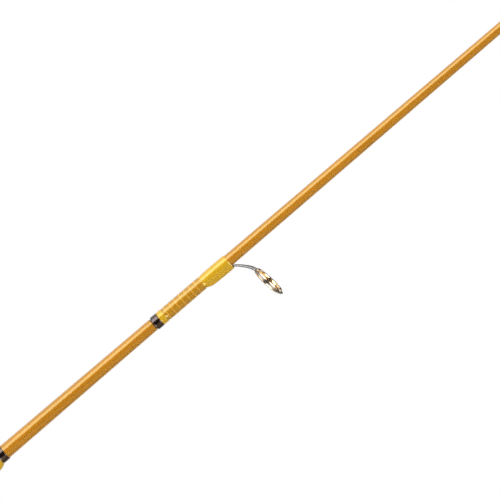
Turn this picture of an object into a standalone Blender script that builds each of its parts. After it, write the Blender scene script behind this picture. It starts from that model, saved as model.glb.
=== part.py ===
"""A two-piece spinning rod: a hollow glass-fibre blank, joined at mid length by an internal spigot.

Row frame: X runs along the rod from butt to tip, Z is up, and the guides and the reel hang towards -Z.
The origin is on the rod's axis at the middle of the reel seat. Stations are distances from the butt end.
Run it with: blender --background --python part.py
"""

import math

import bmesh
import bpy
from mathutils import Vector

MM = 0.001

# ---- Driving dimensions ----
ROD_LENGTH = 1981 * MM
SEAT_CENTRE = 287.5 * MM  # station of the origin
JOINT = 963.0 * MM  # station where the butt section ends and the tip section begins
JOINT_GAP = 0.5 * MM
BLANK_START = 6.1 * MM
BLANK_END = 1973.5 * MM
# Outer diameter of the blank at each station, straight tapers between.
BLANK_TAPER = (
    (0 * MM, 13.4 * MM),
    (420 * MM, 11.9 * MM),
    (856 * MM, 8.25 * MM),
    (963 * MM, 7.15 * MM),
    (1208 * MM, 5.45 * MM),
    (ROD_LENGTH, 1.9 * MM),
)
FIT = 0.03 * MM  # radial gap of glued, pressed and wrapped pieces
SIDES = 24  # facets of every turned piece, so that neighbours' facets lie parallel

# ---- Spigot ----
SPIGOT_HALF = 60 * MM  # length inside each section
SPIGOT_RADIUS = 2.45 * MM  # at the joint
SPIGOT_TAPER = 0.004  # loss of radius per length, towards the tip
SLIDING_FIT = 0.05 * MM

# ---- Handle ----
CAP_LENGTH = 24 * MM
CAP_FLOOR = 5.5 * MM
CAP_RADIUS = 14.2 * MM
CAP_SOCKET_RADIUS = 12.05 * MM
REAR_GRIP_END = 228.0 * MM
SEAT_HALF = 57.1 * MM
TRIM_RING_LENGTH = 2.0 * MM
FORE_GRIP_START = SEAT_CENTRE + SEAT_HALF + TRIM_RING_LENGTH + 0.6 * MM
FORE_GRIP_END = 420.0 * MM
CHECK_LENGTH = 5.2 * MM
STEP_GAP = 0.2 * MM  # end gap between pieces that butt together on the blank

# ---- Reel seat, in row X ----
BARREL_RADIUS = 10.25 * MM
BARREL_BORE = 8.0 * MM
DECK_DEPTH = 9.3 * MM  # from the axis down to the flat that the reel foot sits on
DECK_START, DECK_END = -17.5 * MM, 51.5 * MM
THREAD_PITCH = 3.0 * MM
THREAD_STEPS = 10  # facets of one turn of the thread
THREAD_ROOT = 9.35 * MM
THREAD_START, THREAD_END = -54.6 * MM, -24.0 * MM
THREAD_CREST_WIDTH = 0.7 * MM
THREAD_BASE_WIDTH = 1.5 * MM
THREAD_CLEARANCE = 0.3 * MM
KEYWAY_HALF_WIDTH = 1.5 * MM
KEYWAY_FLOOR = 9.1 * MM
ARBOR_LENGTH = 26 * MM

# ---- Hoods and lock nut, in row X ----
HOOD_BORE = 10.45 * MM
HOOD_RADIUS = 12.0 * MM
HOOD_LENGTH = 18.0 * MM
FIXED_HOOD_END = 56.9 * MM
SLIDING_HOOD_START = -27.0 * MM
HOOD_MOUTH_DEPTH = 15.9 * MM  # from the axis down to the outside of the mouth
HOOD_NOSE_DEPTH = 13.2 * MM
HOOD_HALF_WIDTH = 8.2 * MM
POCKET_LENGTH = 13.0 * MM
POCKET_HALF_WIDTH = 7.0 * MM
POCKET_MOUTH_DEPTH = 14.6 * MM
POCKET_END_DEPTH = 12.4 * MM
SKIRT_LENGTH = 5.0 * MM
SKIRT_RADIUS = 13.9 * MM
SKIRT_RECESS_RADIUS = 12.7 * MM
SKIRT_LIP_RADIUS = 11.9 * MM
NUT_LENGTH = 13.0 * MM
NUT_RADIUS = 13.6 * MM
NUT_FLUTES = 16

# ---- Hook keeper ----
KEEPER_STATION = 440.0 * MM
KEEPER_BAR_RADIUS = 0.45 * MM
KEEPER_STRIP = 0.45 * MM  # thickness of the bracket's strip
KEEPER_HALF_WIDTH = 1.7 * MM
KEEPER_FOOT = 9.0 * MM
KEEPER_RING_HALF_WIDTH = 3.6 * MM
KEEPER_RING_DROP = 7.6 * MM

# ---- Guides: the ring's station, the hoop's outer radius, the ring's drop below the axis, wire radius ----
GUIDES = (
    ("guide_2", 1026.3 * MM, 10.4 * MM, 22.6 * MM, 0.60 * MM),
    ("guide_3", 1248.0 * MM, 7.30 * MM, 16.8 * MM, 0.50 * MM),
    ("guide_4", 1416.0 * MM, 6.20 * MM, 13.9 * MM, 0.45 * MM),
    ("guide_5", 1559.0 * MM, 5.20 * MM, 11.4 * MM, 0.42 * MM),
    ("guide_6", 1681.0 * MM, 4.60 * MM, 9.9 * MM, 0.40 * MM),
    ("guide_7", 1788.0 * MM, 4.10 * MM, 8.6 * MM, 0.38 * MM),
    ("guide_8", 1885.0 * MM, 3.80 * MM, 7.8 * MM, 0.36 * MM),
)
GUIDE_LEAN = math.radians(7)  # the ring's far edge leans towards the tip
GUIDE_REACH = 0.462  # from the foot's bend to the ring's centre along X, per drop below the blank's surface
LEG_ANGLE = math.radians(24)  # where the legs leave the hoop, from its top
LEG_SPREAD = 1.08  # half the distance between the legs at the foot, per wire radius
LEG_LEAVES = (-0.06, -0.25, -0.32)  # direction in which a leg leaves the hoop, as shares of its rise
LEG_LANDS = (0.30, 0.2, 0.16)  # direction in which it meets the foot, likewise
FOOT_HALF_WIDTH = 2.2  # per wire radius
FOOT_THICKNESS = 2.25  # a foot's thickness at its heel, per wire radius
TOE_RAMP = 0.15  # share of a foot's length over which its toe is ground down
TOE_SHARE = 0.25  # share of the foot's thickness left at the toe
RAMP_SHARE = 0.7  # share of the foot's thickness where the ground toe ends
WRAP_THICKNESS = 0.36 * MM
WRAP_POINTS = 16  # points round a wrap
RING_FIT = 0.05 * MM
HOOP_STEPS, SMALL_HOOP_STEPS = 16, 12  # facets of a hoop
SMALL_HOOP = 5.0 * MM
RING_WALL = 0.22  # radial wall of a ring, per its outer radius
RING_WIDTH = 0.33  # axial width of a ring, per its outer radius

# ---- Stripper guide, which has a foot on both sides ----
STRIPPER_STATION = 821.4 * MM
STRIPPER_RADIUS = 13.6 * MM
STRIPPER_DROP = 31.0 * MM
STRIPPER_WIRE = 0.80 * MM
STRIPPER_FOOT_START = 12.0 * MM  # from the ring's station to where each foot begins
STRIPPER_FOOT_LENGTH = 17.0 * MM

# ---- Thread bands, as (start, end) stations ----
STRIPPER_FRONT_WRAP = (834.0 * MM, 851.0 * MM)
STRIPPER_FRONT_TRIM = (851.2 * MM, 855.5 * MM)
STRIPPER_REAR_WRAP = (791.8 * MM, 808.8 * MM)
STRIPPER_REAR_TRIM = (787.3 * MM, 791.6 * MM)
FERRULE_BLACK = (963.6 * MM, 967.8 * MM)
FERRULE_YELLOW = (967.9 * MM, 971.4 * MM)
FERRULE_AMBER = (971.5 * MM, 998.5 * MM)
BAND_THICKNESS = 0.42 * MM
BAND_GAP = 0.1 * MM
FERRULE_GUIDE = "guide_2"  # the guide whose wrap starts where the ferrule's ends
WRAP_LEAD = 1.5 * MM  # bare turns wound before a foot's toe
WRAP_END_GAP = 0.5 * MM  # from the end of a wrap to the foot's heel

# ---- Tip-top ----
TIP_TUBE = (1962.0 * MM, 1974.5 * MM)
TIP_TUBE_RADIUS = 1.55 * MM
TIP_RING_RADIUS = 3.9 * MM  # outside of the hoop
TIP_RING_WIRE = 0.38 * MM
TIP_RING_CENTRE = Vector((1977.3 * MM - SEAT_CENTRE, 0, -3.4 * MM))
TIP_RING_LEAN = math.radians(20)
TIP_LEG_ANGLE = math.radians(60)


def x_at(station):
    """Row X of a station."""
    return station - SEAT_CENTRE


def blank_radius(station):
    """Outer radius of the blank at a station."""
    for (s0, d0), (s1, d1) in zip(BLANK_TAPER, BLANK_TAPER[1:]):
        if station <= s1:
            return (d0 + (d1 - d0) * (station - s0) / (s1 - s0)) / 2
    return BLANK_TAPER[-1][1] / 2


def clear_radius(station, sides=SIDES):
    """Radius of a many-sided hole whose flats clear the blank."""
    return (blank_radius(station) + FIT) / math.cos(math.pi / sides)


# ---- Materials ----


def make_material(name, colour, roughness, metallic=0.0):
    material = bpy.data.materials.new(name)
    material.use_nodes = True
    shader = material.node_tree.nodes["Principled BSDF"]
    shader.inputs["Base Color"].default_value = (*colour, 1.0)
    shader.inputs["Roughness"].default_value = roughness
    shader.inputs["Metallic"].default_value = metallic
    return material


def make_materials():
    return {
        "blank": make_material("amber_glass_fibre", (0.50, 0.21, 0.022), 0.2),
        "yellow": make_material("yellow_thread", (0.72, 0.42, 0.03), 0.25),
        "amber": make_material("amber_thread", (0.55, 0.25, 0.03), 0.25),
        "black": make_material("black_thread", (0.015, 0.012, 0.015), 0.25),
        "steel": make_material("polished_steel", (0.62, 0.63, 0.65), 0.15, 1.0),
        "gold": make_material("gold_ring", (0.83, 0.58, 0.22), 0.12, 1.0),
        "cork": make_material("cork", (0.62, 0.42, 0.23), 0.8),
        "rubber": make_material("black_rubber", (0.02, 0.02, 0.02), 0.7),
        "seat": make_material("graphite_plastic", (0.03, 0.03, 0.032), 0.35),
        "gold_trim": make_material("gold_anodised", (0.72, 0.45, 0.12), 0.25, 1.0),
        "arbor": make_material("arbor_foam", (0.75, 0.73, 0.66), 0.9),
    }


# ---- Shape tools ----


def add_object(name, bm, material):
    """One named object from a bmesh, closed and with its faces pointing out."""
    bmesh.ops.remove_doubles(bm, verts=bm.verts, dist=1e-8)
    bmesh.ops.recalc_face_normals(bm, faces=bm.faces)
    mesh = bpy.data.meshes.new(name)
    bm.to_mesh(mesh)
    bm.free()
    mesh.shade_smooth()
    mesh.set_sharp_from_angle(angle=math.radians(35))
    obj = bpy.data.objects.new(name, mesh)
    bpy.context.scene.collection.objects.link(obj)
    if material is not None:
        mesh.materials.append(material)
    return obj


def turned(name, outline, material, sides=SIDES):
    """Turns an outline of (x, radius) points about the X axis.

    The outline is a loop, unless it starts and ends on the axis.
    """
    bm = bmesh.new()
    verts = [bm.verts.new((x, radius, 0)) for x, radius in outline]
    edges = [bm.edges.new(pair) for pair in zip(verts, verts[1:])]
    if outline[0][1] > 0:
        edges.append(bm.edges.new((verts[-1], verts[0])))
    bmesh.ops.spin(
        bm,
        geom=verts + edges,
        axis=(1, 0, 0),
        cent=(0, 0, 0),
        angle=math.tau,
        steps=sides,
        use_merge=True,
    )
    return add_object(name, bm, material)


def lofted(name, sections, material, through=False):
    """Joins equal loops of points into a skin.

    With through, the last section meets the first, else both ends are filled.
    """
    bm = bmesh.new()
    loops = [[bm.verts.new(p) for p in section] for section in sections]
    pairs = list(zip(loops, loops[1:]))
    if through:
        pairs.append((loops[-1], loops[0]))
    for near, far in pairs:
        for i in range(len(near)):
            j = (i + 1) % len(near)
            bm.faces.new((near[i], near[j], far[j], far[i]))
    if not through:
        bm.faces.new(loops[0])
        bm.faces.new(loops[-1])
    return add_object(name, bm, material)


def wire(name, points, radius, material, cyclic=False, resolution=1):
    """A round wire along the points, as a mesh."""
    curve = bpy.data.curves.new(name, "CURVE")
    curve.dimensions = "3D"
    curve.bevel_depth = radius
    curve.bevel_resolution = resolution
    curve.use_fill_caps = True
    spline = curve.splines.new("POLY")
    spline.points.add(len(points) - 1)
    for point, place in zip(spline.points, points):
        point.co = (*place, 1.0)
    spline.use_cyclic_u = cyclic
    guide = bpy.data.objects.new(name + "_path", curve)
    bpy.context.scene.collection.objects.link(guide)
    graph = bpy.context.evaluated_depsgraph_get()
    made = bpy.data.meshes.new_from_object(guide.evaluated_get(graph))
    bpy.data.objects.remove(guide)
    bm = bmesh.new()
    bm.from_mesh(made)
    bpy.data.meshes.remove(made)
    bmesh.ops.remove_doubles(bm, verts=bm.verts, dist=1e-6)
    return add_object(name, bm, material)


def block(name, low, high):
    """A box between two corners, used as a cutter or a blade."""
    bm = bmesh.new()
    bmesh.ops.create_cube(bm, size=1.0)
    for vert in bm.verts:
        vert.co = Vector(
            tuple(low[k] if vert.co[k] < 0 else high[k] for k in range(3))
        )
    return add_object(name, bm, None)


def combine(target, helper, operation):
    """Adds or cuts the helper, which is then left out of the model."""
    helper.hide_render = True
    helper.display_type = "WIRE"
    modifier = target.modifiers.new(operation.lower() + "_" + helper.name, "BOOLEAN")
    modifier.operation = operation
    modifier.solver = "EXACT"
    modifier.object = helper


def hull_radius(angle, circle, half_width, depth):
    """Distance from the axis to a thread pulled tight round a circle and a foot below it.

    The angle is measured from straight down.
    """
    corner = math.hypot(half_width, depth)
    angle = abs(angle)
    if corner <= circle:
        return circle
    corner_angle = math.atan2(half_width, depth)
    tangent_angle = corner_angle + math.acos(circle / corner)
    if angle <= corner_angle:
        return depth / math.cos(angle)
    if angle <= tangent_angle:
        return circle / math.cos(tangent_angle - angle)
    return circle


def hull_loop(x, circle, half_width, depth, points=WRAP_POINTS):
    """A loop of points at x round a circle and the foot below it, with the foot's corners among them."""
    corner_angle = math.atan2(half_width, max(depth, circle))
    span = math.tau - 2 * corner_angle
    angles = [corner_angle + span * i / (points - 1) for i in range(points)]
    loop = []
    for angle in angles:
        turned_angle = angle if angle <= math.pi else angle - math.tau
        radius = hull_radius(turned_angle, circle, half_width, depth)
        loop.append((x, radius * math.sin(turned_angle), -radius * math.cos(turned_angle)))
    return loop


def bezier(points, steps):
    """Points along a cubic curve with four control points."""
    p0, p1, p2, p3 = (Vector(p) for p in points)
    path = []
    for i in range(steps + 1):
        t = i / steps
        u = 1 - t
        path.append(u**3 * p0 + 3 * u * u * t * p1 + 3 * u * t * t * p2 + t**3 * p3)
    return path


# ---- Blank ----


def taper_stations(start, end):
    """The ends of a stretch of blank and every change of taper between them."""
    inner = [s for s, _ in BLANK_TAPER if start < s < end]
    return [start, *inner, end]


def make_butt_blank(material):
    stations = taper_stations(BLANK_START, JOINT)
    outside = [(x_at(s), blank_radius(s)) for s in stations]
    socket_start = JOINT - SPIGOT_HALF - 2 * MM
    socket_radius = SPIGOT_RADIUS + FIT
    bore = [
        (x_at(JOINT), socket_radius),
        (x_at(socket_start), socket_radius),
        (x_at(socket_start - 30 * MM), socket_radius + 0.4 * MM),
        (x_at(BLANK_START), blank_radius(BLANK_START) - 1.5 * MM),
    ]
    return turned("butt_blank", outside + bore, material)


def spigot_radius(station):
    """The spigot is straight in the butt section and tapers towards the tip beyond the joint."""
    return SPIGOT_RADIUS - SPIGOT_TAPER * max(0.0, station - JOINT)


def make_spigot(material):
    start = JOINT - SPIGOT_HALF
    end = JOINT + SPIGOT_HALF
    wall = 1.0 * MM
    outline = [
        (x_at(start), SPIGOT_RADIUS),
        (x_at(JOINT), SPIGOT_RADIUS),
        (x_at(end - 1 * MM), spigot_radius(end)),
        (x_at(end), spigot_radius(end) - 0.5 * MM),
        (x_at(end), spigot_radius(end) - wall),
        (x_at(start), SPIGOT_RADIUS - wall),
    ]
    return turned("ferrule_spigot", outline, material)


def make_tip_blank(material):
    start = JOINT + JOINT_GAP
    socket_end = JOINT + SPIGOT_HALF + 3 * MM
    outside = [(x_at(s), blank_radius(s)) for s in taper_stations(start, BLANK_END)]
    bore = [
        (x_at(BLANK_END), 0.42 * MM),
        (x_at(1208 * MM), 1.75 * MM),
        (x_at(socket_end), spigot_radius(socket_end) + SLIDING_FIT),
        (x_at(start), spigot_radius(start) + SLIDING_FIT),
    ]
    return turned("tip_blank", outside + bore, material)


# ---- Handle ----


def make_butt_cap(material):
    outline = [
        (x_at(0), 0),
        (x_at(0), 10.5 * MM),
        (x_at(1.2 * MM), 12.8 * MM),
        (x_at(4 * MM), CAP_RADIUS),
        (x_at(20 * MM), CAP_RADIUS),
        (x_at(23 * MM), CAP_RADIUS - 0.3 * MM),
        (x_at(CAP_LENGTH), CAP_RADIUS - 1.0 * MM),
        (x_at(CAP_LENGTH), CAP_SOCKET_RADIUS),
        (x_at(CAP_FLOOR), CAP_SOCKET_RADIUS),
        (x_at(CAP_FLOOR), 0),
    ]
    return turned("butt_cap", outline, material)


def sleeve(name, start, end, outside, material):
    """A turned piece that the blank runs through, with its outside as (station, radius) points."""
    outline = [(x_at(s), r) for s, r in outside]
    inside = [(x_at(s), clear_radius(s)) for s in reversed(taper_stations(start, end))]
    return turned(name, outline + inside, material)


def make_rear_grip(material):
    start = CAP_FLOOR + 0.3 * MM
    shoulder = CAP_LENGTH + 0.1 * MM
    end = REAR_GRIP_END
    reduced = CAP_SOCKET_RADIUS - 0.1 * MM
    outside = [
        (start, reduced),
        (shoulder, reduced),
        (shoulder, 13.1 * MM),
        (70 * MM, 13.3 * MM),
        (135 * MM, 12.5 * MM),
        (190 * MM, 12.8 * MM),
        (218 * MM, 13.4 * MM),
        (end - 3 * MM, 13.3 * MM),
        (end, 12.6 * MM),
    ]
    return sleeve("rear_grip", start, end, outside, material)


def make_fore_grip(material):
    start, end = FORE_GRIP_START, FORE_GRIP_END
    outside = [
        (start, 11.9 * MM),
        (start + 3 * MM, 12.5 * MM),
        (start + 14 * MM, 12.5 * MM),
        (start + 36 * MM, 11.2 * MM),
        (start + 58 * MM, 9.0 * MM),
        (end - 3 * MM, 7.9 * MM),
        (end, 7.5 * MM),
    ]
    return sleeve("fore_grip", start, end, outside, material)


def make_trim_rings(material):
    """The two rings that hide the ends of the reel seat."""
    front = SEAT_CENTRE + SEAT_HALF + STEP_GAP
    for name, start in (("rear_trim_ring", REAR_GRIP_END + STEP_GAP), ("front_trim_ring", front)):
        end = start + TRIM_RING_LENGTH
        outside = [(start, 12.2 * MM), (start + 0.4 * MM, 12.7 * MM)]
        outside += [(end - 0.4 * MM, 12.7 * MM), (end, 12.2 * MM)]
        sleeve(name, start, end, outside, material)


def make_winding_check(material):
    start = FORE_GRIP_END + STEP_GAP
    end = start + CHECK_LENGTH
    outside = [
        (start, 7.9 * MM),
        (start + 1.5 * MM, 7.9 * MM),
        (start + 2.3 * MM, 7.2 * MM),
        (end - 0.6 * MM, 6.7 * MM),
        (end, 6.4 * MM),
    ]
    return sleeve("winding_check", start, end, outside, material)


def make_arbors(material):
    """The bushes that centre the reel seat on the blank."""
    for name, start in (
        ("rear_arbor", SEAT_CENTRE - SEAT_HALF + 4 * MM),
        ("front_arbor", SEAT_CENTRE + SEAT_HALF - 4 * MM - ARBOR_LENGTH),
    ):
        radius = BARREL_BORE - FIT
        end = start + ARBOR_LENGTH
        sleeve(name, start, end, [(start, radius), (end, radius)], material)


# ---- Reel seat ----


def make_thread_ridge(start, end):
    """The ridge of the reel seat's right-hand thread, sunk a little into the barrel."""
    inner = THREAD_ROOT - 0.4 * MM
    outer = BARREL_RADIUS
    half_base = THREAD_BASE_WIDTH / 2
    half_crest = THREAD_CREST_WIDTH / 2
    steps = math.ceil((end - start) / THREAD_PITCH * THREAD_STEPS)
    sections = []
    for i in range(steps + 1):
        x = start + (end - start) * i / steps
        angle = math.tau * x / THREAD_PITCH
        across = Vector((0, math.cos(angle), math.sin(angle)))
        corners = ((-half_base, inner), (-half_crest, outer), (half_crest, outer), (half_base, inner))
        sections.append([Vector((x + dx, 0, 0)) + across * r for dx, r in corners])
    return lofted("thread_ridge", sections, None)


def make_barrel(material):
    shoulder = THREAD_END + 1.6 * MM
    collar = -SEAT_HALF + 1.6 * MM
    outline = [
        (-SEAT_HALF, THREAD_ROOT),
        (collar, THREAD_ROOT),
        (shoulder, THREAD_ROOT),
        (shoulder + 0.9 * MM, BARREL_RADIUS),
        (SEAT_HALF, BARREL_RADIUS),
        (SEAT_HALF, BARREL_BORE),
        (-SEAT_HALF, BARREL_BORE),
    ]
    barrel = turned("reel_seat_barrel", outline, material)
    combine(barrel, make_thread_ridge(THREAD_START, THREAD_END), "UNION")
    keyway = block(
        "keyway_cutter",
        (-SEAT_HALF - 2 * MM, -KEYWAY_HALF_WIDTH, KEYWAY_FLOOR),
        (12 * MM, KEYWAY_HALF_WIDTH, 14 * MM),
    )
    combine(barrel, keyway, "DIFFERENCE")
    deck = block(
        "deck_cutter",
        (DECK_START, -12 * MM, -14 * MM),
        (DECK_END, 12 * MM, -DECK_DEPTH),
    )
    combine(barrel, deck, "DIFFERENCE")
    return barrel


def make_pocket_cutter(name, mouth, end, reach):
    """The wedge-shaped space that takes one end of the reel foot. Reach runs it past the mouth."""
    direction = 1 if end > mouth else -1
    outside = mouth - direction * reach
    slope = (POCKET_MOUTH_DEPTH - POCKET_END_DEPTH) / POCKET_LENGTH
    sections = []
    for x, depth in (
        (outside, POCKET_MOUTH_DEPTH + slope * reach),
        (end, POCKET_END_DEPTH),
    ):
        narrow = POCKET_HALF_WIDTH * 0.55
        sections.append(
            [
                (x, -POCKET_HALF_WIDTH, -4 * MM),
                (x, POCKET_HALF_WIDTH, -4 * MM),
                (x, POCKET_HALF_WIDTH, -depth + 3.6 * MM),
                (x, narrow, -depth),
                (x, -narrow, -depth),
                (x, -POCKET_HALF_WIDTH, -depth + 3.6 * MM),
            ]
        )
    return lofted(name, sections, None)


def hood_sections(stations):
    """Loops of a hood's outside: each station is (x, circle's radius, half width of the bulge, its depth)."""
    return [hull_loop(x, circle, half, depth, points=24) for x, circle, half, depth in stations]


def make_fixed_hood(material):
    """The front hood: its mouth opens towards the butt, and the barrel runs right through it."""
    mouth = FIXED_HOOD_END - HOOD_LENGTH
    narrow = HOOD_HALF_WIDTH * 0.62
    hood = lofted(
        "fixed_hood",
        hood_sections(
            (
                (mouth, HOOD_RADIUS, narrow, HOOD_MOUTH_DEPTH - 0.4 * MM),
                (mouth + 1.0 * MM, HOOD_RADIUS + 0.4 * MM, narrow, HOOD_MOUTH_DEPTH),
                (mouth + 12 * MM, HOOD_RADIUS + 0.4 * MM, narrow * 0.95, HOOD_NOSE_DEPTH + 1.2 * MM),
                (FIXED_HOOD_END - 1 * MM, HOOD_RADIUS, narrow * 0.7, HOOD_NOSE_DEPTH),
                (FIXED_HOOD_END, HOOD_RADIUS - 0.5 * MM, narrow * 0.7, HOOD_NOSE_DEPTH - 0.6 * MM),
            )
        ),
        material,
    )
    combine(hood, bore_cutter("fixed_hood_bore", mouth, FIXED_HOOD_END, HOOD_BORE), "DIFFERENCE")
    pocket = make_pocket_cutter("fixed_pocket_cutter", mouth, mouth + POCKET_LENGTH, 3 * MM)
    combine(hood, pocket, "DIFFERENCE")
    return hood


def bore_cutter(name, start, end, radius):
    """A plain cylinder that runs past both faces of what it bores."""
    over = 3 * MM
    outline = [(start - over, 0), (start - over, radius), (end + over, radius), (end + over, 0)]
    return turned(name, outline, None)


def make_sliding_hood(material):
    """The rear hood: its mouth opens towards the tip, and its skirt holds the nut's nose.

    Its key runs in the keyway.
    """
    start = SLIDING_HOOD_START
    mouth = start + SKIRT_LENGTH + HOOD_LENGTH - 1 * MM
    narrow = HOOD_HALF_WIDTH * 0.62
    skirt_end = start + SKIRT_LENGTH
    hood = lofted(
        "sliding_hood",
        hood_sections(
            (
                (start, SKIRT_RADIUS - 0.4 * MM, narrow, SKIRT_RADIUS - 0.4 * MM),
                (start + 0.5 * MM, SKIRT_RADIUS, narrow, SKIRT_RADIUS),
                (skirt_end, SKIRT_RADIUS, narrow, SKIRT_RADIUS),
                (skirt_end + 1.5 * MM, HOOD_RADIUS + 0.5 * MM, narrow, HOOD_NOSE_DEPTH + 1.0 * MM),
                (mouth - 1.0 * MM, HOOD_RADIUS + 0.4 * MM, narrow, HOOD_MOUTH_DEPTH),
                (mouth, HOOD_RADIUS, narrow, HOOD_MOUTH_DEPTH - 0.4 * MM),
            )
        ),
        material,
    )
    combine(hood, bore_cutter("sliding_hood_bore", start, mouth, HOOD_BORE), "DIFFERENCE")
    recess = turned(
        "skirt_recess",
        [
            (start - 1 * MM, 0),
            (start - 1 * MM, SKIRT_LIP_RADIUS),
            (start + 1.4 * MM, SKIRT_LIP_RADIUS),
            (start + 1.4 * MM, SKIRT_RECESS_RADIUS),
            (skirt_end - 0.9 * MM, SKIRT_RECESS_RADIUS),
            (skirt_end - 0.9 * MM, 0),
        ],
        None,
    )
    combine(hood, recess, "DIFFERENCE")
    pocket = make_pocket_cutter("sliding_pocket_cutter", mouth, mouth - POCKET_LENGTH, 3 * MM)
    combine(hood, pocket, "DIFFERENCE")
    key = block(
        "hood_key",
        (skirt_end + 1 * MM, -KEYWAY_HALF_WIDTH + 0.25 * MM, KEYWAY_FLOOR + 0.25 * MM),
        (mouth - 2 * MM, KEYWAY_HALF_WIDTH - 0.25 * MM, HOOD_BORE + 0.6 * MM),
    )
    combine(hood, key, "UNION")
    return hood


def make_lock_nut(material):
    """The knurled nut, whose flanged nose turns inside the sliding hood's skirt."""
    face = SLIDING_HOOD_START - 0.3 * MM
    start = face - NUT_LENGTH
    bore = BARREL_RADIUS + THREAD_CLEARANCE
    nose_end = SLIDING_HOOD_START + 3.7 * MM
    flange_start = SLIDING_HOOD_START + 1.7 * MM
    outline = [
        (start, NUT_RADIUS - 1.3 * MM),
        (start + 1.0 * MM, NUT_RADIUS),
        (face - 0.8 * MM, NUT_RADIUS),
        (face, NUT_RADIUS - 0.6 * MM),
        (face, SKIRT_LIP_RADIUS - 0.3 * MM),
        (flange_start, SKIRT_LIP_RADIUS - 0.3 * MM),
        (flange_start, SKIRT_RECESS_RADIUS - 0.3 * MM),
        (nose_end, SKIRT_RECESS_RADIUS - 0.3 * MM),
        (nose_end, bore),
        (start, bore),
    ]
    nut = turned("lock_nut", outline, material)
    flute_radius = 1.1 * MM
    flute_circle = NUT_RADIUS + 0.35 * MM
    flutes = bmesh.new()
    for i in range(NUT_FLUTES):
        angle = math.tau * (i + 0.5) / NUT_FLUTES
        made = bmesh.ops.create_cone(
            flutes,
            cap_ends=True,
            segments=8,
            radius1=flute_radius,
            radius2=flute_radius,
            depth=NUT_LENGTH - 3.4 * MM,
        )["verts"]
        for vert in made:
            along, across, up = vert.co.z, vert.co.x, vert.co.y
            vert.co = (
                (start + face) / 2 + along,
                across + flute_circle * math.cos(angle),
                up + flute_circle * math.sin(angle),
            )
    combine(nut, add_object("flute_cutter", flutes, None), "DIFFERENCE")
    return nut


# ---- Hook keeper ----


def keeper_pivot_depth():
    return blank_radius(KEEPER_STATION) + 2 * FIT + KEEPER_BAR_RADIUS + 0.15 * MM


def make_keeper_bracket(material):
    """A strip bent over the ring's bar, with a flat foot before and behind it."""
    x0 = x_at(KEEPER_STATION)
    base = blank_radius(KEEPER_STATION - KEEPER_FOOT) + FIT
    pivot = keeper_pivot_depth()
    inner = KEEPER_BAR_RADIUS + 0.12 * MM
    outer = inner + KEEPER_STRIP
    arch = [math.pi * i / 8 for i in range(9)]
    lower = [(x0 - outer * math.cos(a), -pivot - outer * math.sin(a)) for a in arch]
    upper = [(x0 + inner * math.cos(a), -pivot - inner * math.sin(a)) for a in arch]
    foot_bottom = -base - KEEPER_STRIP
    profile = [(x0 - KEEPER_FOOT, -base - 0.15 * MM), (x0 - KEEPER_FOOT + 3 * MM, foot_bottom)]
    profile += [(x0 - outer, foot_bottom), *lower[1:-1], (x0 + outer, foot_bottom)]
    profile += [(x0 + KEEPER_FOOT - 3 * MM, foot_bottom), (x0 + KEEPER_FOOT, -base - 0.15 * MM)]
    profile += [(x0 + KEEPER_FOOT, -base), (x0 + inner, -base), *upper, (x0 - inner, -base)]
    profile += [(x0 - KEEPER_FOOT, -base)]
    sides = [[(x, y, z) for x, z in profile] for y in (-KEEPER_HALF_WIDTH, KEEPER_HALF_WIDTH)]
    return lofted("keeper_bracket", sides, material)


def keeper_ring_path():
    """A D-shaped ring that hangs from its straight bar."""
    x0 = x_at(KEEPER_STATION)
    top = -keeper_pivot_depth()
    half = KEEPER_RING_HALF_WIDTH
    corner = 0.9 * MM
    path = [Vector((x0, -half + corner, top)), Vector((x0, half - corner, top))]
    path += [Vector((x0, half - 0.25 * corner, top - 0.25 * corner))]
    centre = top - KEEPER_RING_DROP + half
    for i in range(13):
        angle = math.pi * i / 12
        path.append(Vector((x0, half * math.cos(angle), centre - half * math.sin(angle))))
    path += [Vector((x0, -half + 0.25 * corner, top - 0.25 * corner))]
    return path


def make_keeper_ring(material):
    return wire("keeper_ring", keeper_ring_path(), KEEPER_BAR_RADIUS, material, cyclic=True)


# ---- Thread wraps ----


def band(name, span, material, thickness=BAND_THICKNESS):
    """A band of thread on the bare blank."""
    start, end = span
    outside = [(s, blank_radius(s) + thickness) for s in span]
    return sleeve(name, start, end, outside, material)


def foot_thickness(station, foot):
    """Thickness of a foot at a station: it is ground thin at the toe.

    A foot is (toe station, heel station, thickness).
    """
    toe, heel, full = foot
    share = (station - toe) / (heel - toe)
    if share < TOE_RAMP:
        return full * (TOE_SHARE + (RAMP_SHARE - TOE_SHARE) * share / TOE_RAMP)
    return full * (RAMP_SHARE + (1 - RAMP_SHARE) * (share - TOE_RAMP) / (1 - TOE_RAMP))


def foot_wrap(name, span, foot, material, half_width):
    """A band of thread over a foot, from the bare blank before its toe to its heel."""
    toe, heel, _ = foot
    ramp = toe + (heel - toe) * TOE_RAMP
    wide = half_width + FIT
    outer, inner = [], []
    for s in sorted((*span, toe, ramp)):
        circle = clear_radius(s, WRAP_POINTS)
        depth = circle
        if (s - toe) * (heel - toe) >= 0:
            depth = blank_radius(s) + 3 * FIT + foot_thickness(s, foot)
        inner.append(hull_loop(x_at(s), circle, wide, depth))
        thick = WRAP_THICKNESS
        outer.append(hull_loop(x_at(s), circle + thick, wide + 0.1 * MM, depth + thick))
    return lofted(name, outer + inner[::-1], material, through=True)


# ---- Guides ----


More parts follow.
